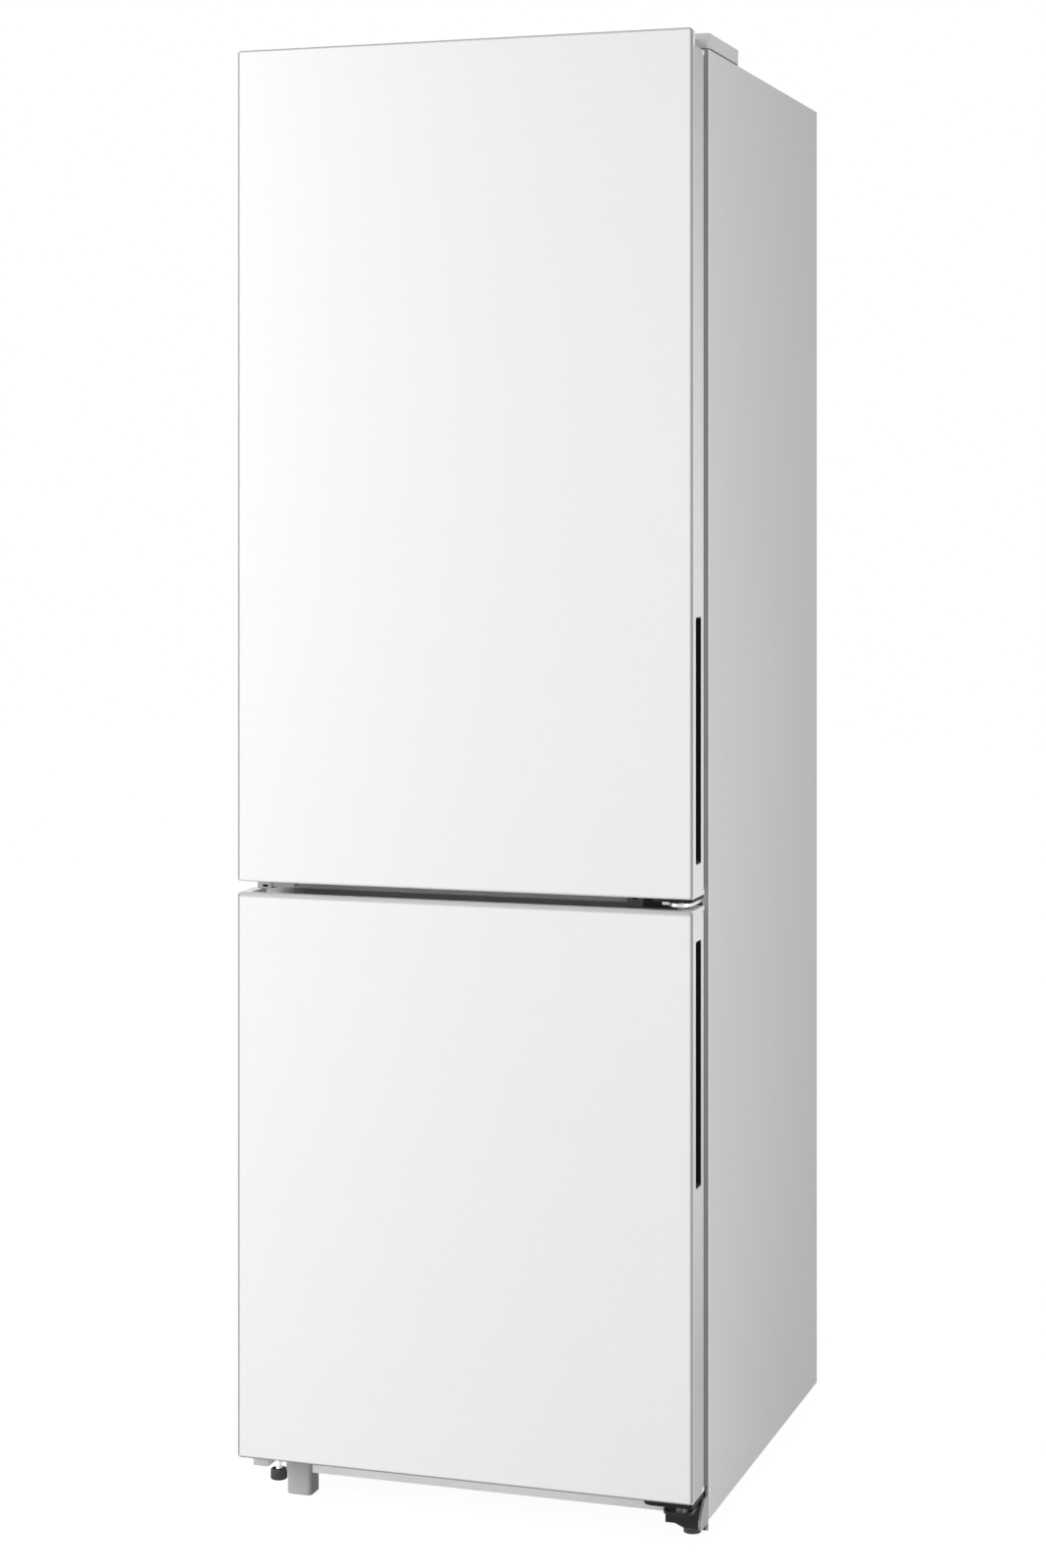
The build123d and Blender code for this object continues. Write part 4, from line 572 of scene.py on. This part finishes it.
def shelf_glass(name, colour):
    """Float glass: a green-tinted body with faint smears on its surface."""
    finish = Finish(name, **{"Transmission Weight": 0.92, "IOR": 1.5})
    smear = finish.noise(9.0, 4.0)
    finish.set(base_color=finish.mix(smear, shade(colour, 0.97), shade(colour, 1.03)))
    finish.set(roughness=0.02 + smear * 0.06)
    return finish


def grid_quads(rows, columns, closed_rows=False, closed_columns=False):
    """Quads of a grid, whose last row or column joins the first where it is closed."""
    row_starts = np.arange(rows if closed_rows else rows - 1)
    column_starts = np.arange(columns if closed_columns else columns - 1)
    row, column = np.meshgrid(row_starts, column_starts, indexing="ij")
    here, after = row * columns, (row + 1) % rows * columns
    beside = (column + 1) % columns
    return np.stack((here + column, here + beside, after + beside, after + column), axis=-1).reshape(-1, 4)


def make_piece(name, points, quads, finish, body, slot, *replaced):
    """Puts a grid into a mesh at the origin that rides on a body and stands for CAD nodes."""
    mesh = bpy.data.meshes.new(name)
    mesh.from_pydata(points.reshape(-1, 3).tolist(), [], quads.tolist())
    shell = bmesh.new()
    shell.from_mesh(mesh)
    bmesh.ops.remove_doubles(shell, verts=shell.verts[:], dist=1e-6)
    bmesh.ops.recalc_face_normals(shell, faces=shell.faces[:])
    shell.to_mesh(mesh)
    shell.free()
    mesh.validate()
    mesh.polygons.foreach_set("use_smooth", np.ones(len(mesh.polygons), dtype=bool))
    mesh.set_sharp_from_angle(angle=SHARP_EDGE)
    mesh.materials.append(finish.material)
    piece = bpy.data.objects.new(name, mesh)
    bpy.context.scene.collection.objects.link(piece)
    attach(piece, body)
    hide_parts(*replaced)


def seal_section(seals, length, samples=26):
    """Outline of a seal: half width over depth is a foot bead, a cosine-folded neck and a flat magnet bead.

    Each bead's half width is its full half width times the fourth root of 1 - s**4 across its depth.
    """
    foot_end, neck_end = 0.24 * length, 0.70 * length
    turn = np.linspace(-1.0, 1.0, samples)
    bead = (1.0 - 0.97 * turn ** 4) ** 0.25
    foot_depth = foot_end * (turn + 1.0) / 2
    neck_depth = np.linspace(foot_end, neck_end, samples + 2)[1:-1]
    wave = np.cos(2 * np.pi * seals.fold_count * (neck_depth - foot_end) / (neck_end - foot_end))
    neck = seals.neck_half - seals.fold_depth * wave
    magnet_depth = neck_end + (length - neck_end) * (turn + 1.0) / 2
    depth = np.concatenate((foot_depth, neck_depth, magnet_depth))
    half = np.concatenate((seals.foot_half * bead, neck, seals.magnet_half * bead))
    return np.concatenate((half, -half[::-1])), np.concatenate((depth, depth[::-1]))


def seal_ring(node, seals):
    """The section carried round the node's rectangle, mitred at the four corners.

    A point is the corner of the middle line plus the section's width along the corner's outward diagonal.
    """
    low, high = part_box(node)
    width, depth = seal_section(seals, high.y - low.y)
    inset = 9.0 * MM
    corner_x = np.array((1.0, 1.0, -1.0, -1.0))[:, None]
    corner_z = np.array((-1.0, 1.0, 1.0, -1.0))[:, None]
    middle_z = (low.z + high.z) / 2
    x = corner_x * ((high.x - low.x) / 2 - inset + width[None, :]) + (low.x + high.x) / 2
    z = corner_z * ((high.z - low.z) / 2 - inset + width[None, :]) + middle_z
    y = np.broadcast_to(low.y + depth[None, :], x.shape)
    return np.stack((x, y, z), axis=-1)


def line_stops(low, high, starts, ends, reach, coarse=30.0 * MM, fine_count=31):
    """Grid lines from low to high, close together inside each span's two ends and coarse elsewhere."""
    plain = np.linspace(low, high, int(round((high - low) / coarse)) + 1)
    inward = np.linspace(0.0, reach, fine_count)
    near = np.concatenate((np.add.outer(starts, inward), np.subtract.outer(ends, inward)))
    return np.unique(np.round(np.concatenate((plain, near.ravel())), 5))


def rounded_field(x, z, box, corner):
    """Signed distance to a rounded rectangle, negative inside."""
    across = np.abs(x - (box[0] + box[1]) / 2) - (box[1] - box[0]) / 2 + corner
    upward = np.abs(z - (box[2] + box[3]) / 2) - (box[3] - box[2]) / 2 + corner
    outside = np.hypot(np.maximum(across, 0.0), np.maximum(upward, 0.0))
    return outside + np.minimum(np.maximum(across, upward), 0.0) - corner


def rear_sheet(node, rear):
    """Stamped sheet: the outer face goes in by a cosine step of the distance to rounded fields.

    The two faces are grids over width and height, joined round their border. The inner one stays flat.
    """
    low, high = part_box(node)
    rows = rear.field_rows
    inner = (low.z + rear.field_margin, high.z - rear.field_margin)
    tall = (inner[1] - inner[0] - rear.field_gap * (rows - 1)) / rows
    bottoms = inner[0] + np.arange(rows) * (tall + rear.field_gap)
    sides = (low.x + rear.field_margin, high.x - rear.field_margin)
    reach = rear.field_corner
    xs = line_stops(low.x, high.x, sides[:1], sides[1:], reach)
    zs = line_stops(low.z, high.z, bottoms, bottoms + tall, reach)
    z, x = np.meshgrid(zs, xs, indexing="ij")
    apart = [rounded_field(x, z, (*sides, bottom, bottom + tall), reach) for bottom in bottoms]
    inward = np.clip(-np.min(apart, axis=0) / rear.slope_width, 0.0, 1.0)
    sink = rear.field_depth * (1.0 - np.cos(np.pi * inward)) / 2
    outer = np.stack((x, high.y - sink, z), axis=-1)
    inner_face = np.stack((x, np.full_like(x, low.y), z), axis=-1)
    count = x.size
    face = grid_quads(*x.shape)
    border = np.arange(count).reshape(x.shape)
    loop = np.concatenate((border[0, :-1], border[:-1, -1], border[-1, :0:-1], border[:0:-1, 0]))
    ahead = np.roll(loop, -1)
    wall = np.stack((loop, loop + count, ahead + count, ahead), axis=-1)
    points = np.concatenate((outer.reshape(-1, 3), inner_face.reshape(-1, 3)))
    return points, np.concatenate((face[:, ::-1], face + count, wall))


def ridged_foot(node, foot):
    """A turned profile with ridges: radius times a cosine of the angle on the knob's wall.

    The profile runs from the middle of the underside up the knob, over its rim, into the sunk top and up the stud.
    """
    low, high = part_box(node)
    centre = (low + high) / 2
    radius = (high.x - low.x) / 2
    stud, knob_top = 4.0 * MM, low.z + 13.5 * MM
    profile = np.array((
        (0.0, low.z, 0), (radius * 0.80, low.z, 0), (radius * 0.93, low.z + 0.6 * MM, 0.3),
        (radius, low.z + 1.8 * MM, 1), (radius, low.z + 6 * MM, 1), (radius, knob_top - 1.6 * MM, 1),
        (radius * 0.95, knob_top - 0.4 * MM, 0.6), (radius * 0.90, knob_top, 0), (radius * 0.84, knob_top, 0),
        (radius * 0.80, knob_top - 0.5 * MM, 0), (radius * 0.79, knob_top - 3 * MM, 0),
        (stud + 0.4 * MM, knob_top - 3.2 * MM, 0), (stud, knob_top - 2.6 * MM, 0),
        (stud, high.z - 0.6 * MM, 0), (stud - 0.6 * MM, high.z, 0), (0.0, high.z, 0),
    ))
    steps = foot.ridge_count * 8
    angle = np.arange(steps) * 2 * np.pi / steps
    groove = (0.5 + 0.5 * np.cos(foot.ridge_count * angle)) ** 2
    round_radius = profile[:, :1] - foot.ridge_depth * profile[:, 2:] * groove[None, :]
    x = centre.x + round_radius * np.cos(angle)
    y = centre.y + round_radius * np.sin(angle)
    z = np.broadcast_to(profile[:, 1:2], x.shape)
    return np.stack((x, y, z), axis=-1), grid_quads(*x.shape, closed_columns=True)


class RefrigeratorCase(bpy.types.Operator):
    """Paints the cabinet's outside, its strip between the doors and its filling."""

    bl_idname = "refrigerator.case"
    bl_label = "Cabinet Outside"

    def execute(self, context):
        colours = context.scene.refrigerator_colours
        dress(case_paint("case_paint", "outer_case", colours), "outer_case")
        dress(painted("base_paint", colours.base_white, rough=0.45), "base_pan")
        dress(strip_paint("strip_paint", colours, STRIP_SHADE_LINE), "mullion_cover")
        dress(foam("foam", colours.foam_cream), "insulation", "fridge_door_foam", "freezer_door_foam")
        return {"FINISHED"}


class RefrigeratorDoors(bpy.types.Operator):
    """Finishes the door panels, trims, caps, grips and stops."""

    bl_idname = "refrigerator.doors"
    bl_label = "Doors"

    def execute(self, context):
        colours = context.scene.refrigerator_colours
        dull = {"Specular IOR Level": 0.2}
        black = moulded("grip_black", colours.grip_black, rough=0.55, drift=0.15, depth=0.0001, **dull)
        rim = colours.rim_painted_shade
        # Width of each door's head band, its painted shade, and its bottom rim's colour: painted light on the
        # upper door, painted shade on the lower.
        ends = {
            "fridge": (3.4 * MM, rim, shade(rim, 1.6)),
            "freezer": (6.5 * MM, colours.head_painted_shade, shade(rim, 0.28)),
        }
        for door, end in ends.items():
            panel, trims = door + "_door_panel", door + "_door_trims"
            dress(door_face("door_face_" + door, panel, colours, *end), panel)
            dress(trim_plastic("door_trim_" + door, trims, colours, TRIM_LIGHT_HEIGHT), trims)
            dress(cap_plastic("door_cap_" + door, panel, colours, LUG_SLOT), door + "_door_caps")
            dress(black, door + "_door_grips", door + "_door_stop")
        return {"FINISHED"}


class RefrigeratorHardware(bpy.types.Operator):
    """Finishes the hinges, screws, hinge cap, leg block, foot and rollers."""

    bl_idname = "refrigerator.hardware"
    bl_label = "Hinges and Feet"

    def execute(self, context):
        colours = context.scene.refrigerator_colours
        dress(plated("hinge_steel", colours.hinge_steel, rough=0.34), "top_hinge_bracket")
        dress(arm_and_plate("hinge_arm", "middle_hinge_bracket", colours, TAB_END), "middle_hinge_bracket")
        dress(base_bracket("hinge_black", "bottom_hinge_bracket", colours), "bottom_hinge_bracket")
        dress(plated("bright_steel", colours.bright_steel, rough=0.16), "hinge_pins")
        dress(screw_steel("screw_steel", "middle_hinge_bracket", colours), "hinge_screws")
        dress(cover_plastic("cover_white", "top_hinge_cover", colours), "top_hinge_cover")
        dress(leg_plastic("leg_grey", "front_leg_block", colours), "front_leg_block")
        dress(ringed_foot("foot_ringed", "front_right_foot", colours), "front_right_foot")
        dark = moulded("foot_dark", colours.foot_dark, rough=0.50, drift=0.12)
        dress(dark, "rear_roller_left", "rear_roller_right")
        return {"FINISHED"}


class RefrigeratorInside(bpy.types.Operator):
    """Finishes the liners, shelves, drawers, bins, control panel and lamp."""

    bl_idname = "refrigerator.inside"
    bl_label = "Inside"

    def execute(self, context):
        colours = context.scene.refrigerator_colours
        liner = moulded("liner_white", colours.liner_white, rough=0.28, grain=700.0, depth=0.00005, drift=0.012)
        dress(liner, "fridge_liner", "freezer_liner", "fridge_door_liner", "freezer_door_liner")
        fitting = moulded("fitting_white", shade(colours.liner_white, 0.97), rough=0.36, drift=0.015)
        dress(fitting, "shelf_trims", "air_duct_cover", "evaporator_cover", "control_panel")
        dress(shelf_glass("shelf_glass", colours.glass_tint), "fridge_shelves")
        drawer = clear_plastic("drawer_clear", colours.drawer_tint, 0.34)
        bins = ["fridge_door_bin_" + place for place in ("lower", "middle", "upper")]
        tubs = ["freezer_drawer_" + place for place in ("bottom", "middle", "top")]
        dress(drawer, "crisper_left", "crisper_right", *bins, *tubs)
        dress(clear_plastic("lamp_clear", colours.lamp_white, 0.72), "lamp_lens")
        button = moulded("button_grey", colours.button_grey, rough=0.34)
        dress(button, "control_button_left", "control_button_right")
        return {"FINISHED"}


class RefrigeratorMachine(bpy.types.Operator):
    """Finishes the machine compartment, the coils and the fans."""

    bl_idname = "refrigerator.machine"
    bl_label = "Machine Compartment"

    def execute(self, context):
        colours = context.scene.refrigerator_colours
        dress(zinc_sheet("rear_sheet", colours.rear_zinc), "machine_cover", "machine_base")
        dress(painted("compressor_black", colours.compressor_black, rough=0.30, drift=0.15), "compressor")
        dress(rubber("mount_rubber", colours.mount_black), "compressor_mounts")
        dress(plated("coil_metal", colours.coil_grey, rough=0.30), "condenser", "evaporator")
        fan = moulded("fan_plastic", colours.fan_black, rough=0.46, drift=0.1)
        dress(fan, "fan_motors", "condenser_fan", "evaporator_fan", "drip_pan")
        return {"FINISHED"}


class RefrigeratorSealMaker(bpy.types.Operator):
    """Makes the folded seals behind both doors."""

    bl_idname = "refrigerator.seals"
    bl_label = "Door Seals"

    def execute(self, context):
        seals = context.scene.refrigerator_seals
        finish = rubber("seal_grey", context.scene.refrigerator_colours.seal_grey)
        for door in ("fridge", "freezer"):
            node = door + "_door_gasket"
            points = seal_ring(node, seals)
            quads = grid_quads(*points.shape[:2], closed_rows=True, closed_columns=True)
            make_piece(door + "_door_seal", points, quads, finish, door + "_door", "gasket_rubber", node)
        return {"FINISHED"}


class RefrigeratorRearMaker(bpy.types.Operator):
    """Makes the stamped rear panel."""

    bl_idname = "refrigerator.rear_panel"
    bl_label = "Rear Panel"

    def execute(self, context):
        rear, zinc = context.scene.refrigerator_rear, context.scene.refrigerator_colours.rear_zinc
        finish = stamped_zinc("rear_panel_sheet", "back_panel", zinc, rear.field_depth)
        points, quads = rear_sheet("back_panel", rear)
        make_piece("rear_panel_stamped", points, quads, finish, "cabinet", "rear_steel", "back_panel")
        return {"FINISHED"}


class RefrigeratorFootMaker(bpy.types.Operator):
    """Makes the ridged knob of the left levelling foot."""

    bl_idname = "refrigerator.left_foot"
    bl_label = "Left Foot"

    def execute(self, context):
        colours = context.scene.refrigerator_colours
        finish = knob_plastic("foot_knob", "front_left_foot", colours)
        points, quads = ridged_foot("front_left_foot", context.scene.refrigerator_foot)
        make_piece("left_foot_knob", points, quads, finish, "front_left_foot", "foot_dark", "front_left_foot")
        return {"FINISHED"}


def soft_lamp(name, place, target, size, power):
    """A tall soft lamp of width by height that faces a target."""
    lamp = bpy.data.lights.new(name, "AREA")
    lamp.shape = "RECTANGLE"
    lamp.size, lamp.size_y = size
    lamp.energy = power
    holder = bpy.data.objects.new(name, lamp)
    holder.location = place
    holder.visible_camera = False
    away = Vector(target) - Vector(place)
    holder.rotation_euler = away.to_track_quat("-Z", "Y").to_euler()
    bpy.context.scene.collection.objects.link(holder)


def background(colour, ambient):
    """An even pale world that the camera, gloss and glass see as white."""
    world = bpy.data.worlds.new("studio")
    world.use_nodes = True
    studio = Shading(world.node_tree)
    strength = studio.rays("Camera", "Glossy", "Transmission") * (1.0 - ambient) + ambient
    light = studio.node("Background", inputs={"Color": colour, "Strength": strength})
    studio.node("OutputWorld", inputs={"Surface": light.outputs[0]})
    bpy.context.scene.world = world


def floor_finish(colour):
    """Pale floor that the camera sees as nearly white, with the object's soft shadow on it."""
    finish = Finish("studio_floor", Roughness=0.8)
    tone = finish.noise(1.2, 2.0)
    finish.set(base_color=finish.mix(tone, shade(colour, 0.99), shade(colour, 1.01)))
    share = finish.rays("Camera", "Glossy") * 0.86
    glow = finish.node("Emission", inputs={"Color": (1.0, 1.0, 1.0), "Strength": 1.10})
    blend = finish.node("MixShader", inputs={0: share, 1: finish.shader.outputs[0], 2: glow.outputs[0]})
    finish.feed(finish.out.inputs["Surface"], blend.outputs[0])
    return finish


class RefrigeratorStageMaker(bpy.types.Operator):
    """Sets up the pale floor, the soft lamps, the world and the camera."""

    bl_idname = "refrigerator.stage"
    bl_label = "Studio"

    def execute(self, context):
        stage = context.scene.refrigerator_stage
        across = np.array((-1.0, 1.0, 1.0, -1.0)) * FLOOR_HALF
        along = np.array((-1.0, -1.0, 1.0, 1.0)) * FLOOR_HALF
        mesh = bpy.data.meshes.new("floor")
        points = np.stack((across, along, np.full(4, -FLOOR_DROP)), axis=-1)
        mesh.from_pydata(points.tolist(), [], [(0, 1, 2, 3)])
        mesh.materials.append(floor_finish(stage.floor_white).material)
        floor = bpy.data.objects.new("floor", mesh)
        context.scene.collection.objects.link(floor)
        for name, lamp in LAMPS.items():
            soft_lamp(name + "_lamp", *lamp, getattr(stage, name + "_power"))
        background((1.0, 1.0, 1.0), stage.ambient)
        camera = bpy.data.cameras.new("camera")
        camera.lens = stage.camera_lens
        camera.shift_y = stage.camera_rise
        holder = bpy.data.objects.new("camera", camera)
        holder.location = stage.camera_place
        holder.rotation_euler = (math.pi / 2, 0.0, stage.camera_turn)
        context.scene.collection.objects.link(holder)
        context.scene.camera = holder
        context.scene.view_settings.view_transform = "Standard"
        return {"FINISHED"}


OPERATORS = (
    RefrigeratorCase, RefrigeratorDoors, RefrigeratorHardware, RefrigeratorInside, RefrigeratorMachine,
    RefrigeratorSealMaker, RefrigeratorRearMaker, RefrigeratorFootMaker, RefrigeratorStageMaker,
)
GROUPS = {
    "refrigerator_colours": RefrigeratorColours,
    "refrigerator_seals": RefrigeratorSeals,
    "refrigerator_rear": RefrigeratorRear,
    "refrigerator_foot": RefrigeratorFoot,
    "refrigerator_stage": RefrigeratorStage,
}


class RefrigeratorPanel(bpy.types.Panel):
    """Sizes, colours and makers of the refrigerator."""

    bl_idname = "VIEW3D_PT_refrigerator"
    bl_label = "Refrigerator"
    bl_space_type = "VIEW_3D"
    bl_region_type = "UI"
    bl_category = "Refrigerator"

    def draw(self, context):
        for operator in OPERATORS:
            self.layout.operator(operator.bl_idname)
        for name, group in GROUPS.items():
            box = self.layout.box()
            for key in group.__annotations__:
                box.prop(getattr(context.scene, name), key)


def register():
    """Registers the groups, the makers and the panel."""
    for name, group in GROUPS.items():
        bpy.utils.register_class(group)
        setattr(bpy.types.Scene, name, PointerProperty(type=group))
    for operator in (*OPERATORS, RefrigeratorPanel):
        bpy.utils.register_class(operator)


def unregister():
    """Takes away what register added."""
    for operator in (RefrigeratorPanel, *reversed(OPERATORS)):
        bpy.utils.unregister_class(operator)
    for name, group in reversed(GROUPS.items()):
        delattr(bpy.types.Scene, name)
        bpy.utils.unregister_class(group)


def main():
    """Builds every piece, then the studio."""
    register()
    for operator in OPERATORS:
        group, maker = operator.bl_idname.split(".")
        getattr(getattr(bpy.ops, group), maker)()


if __name__ == "__main__":
    main()
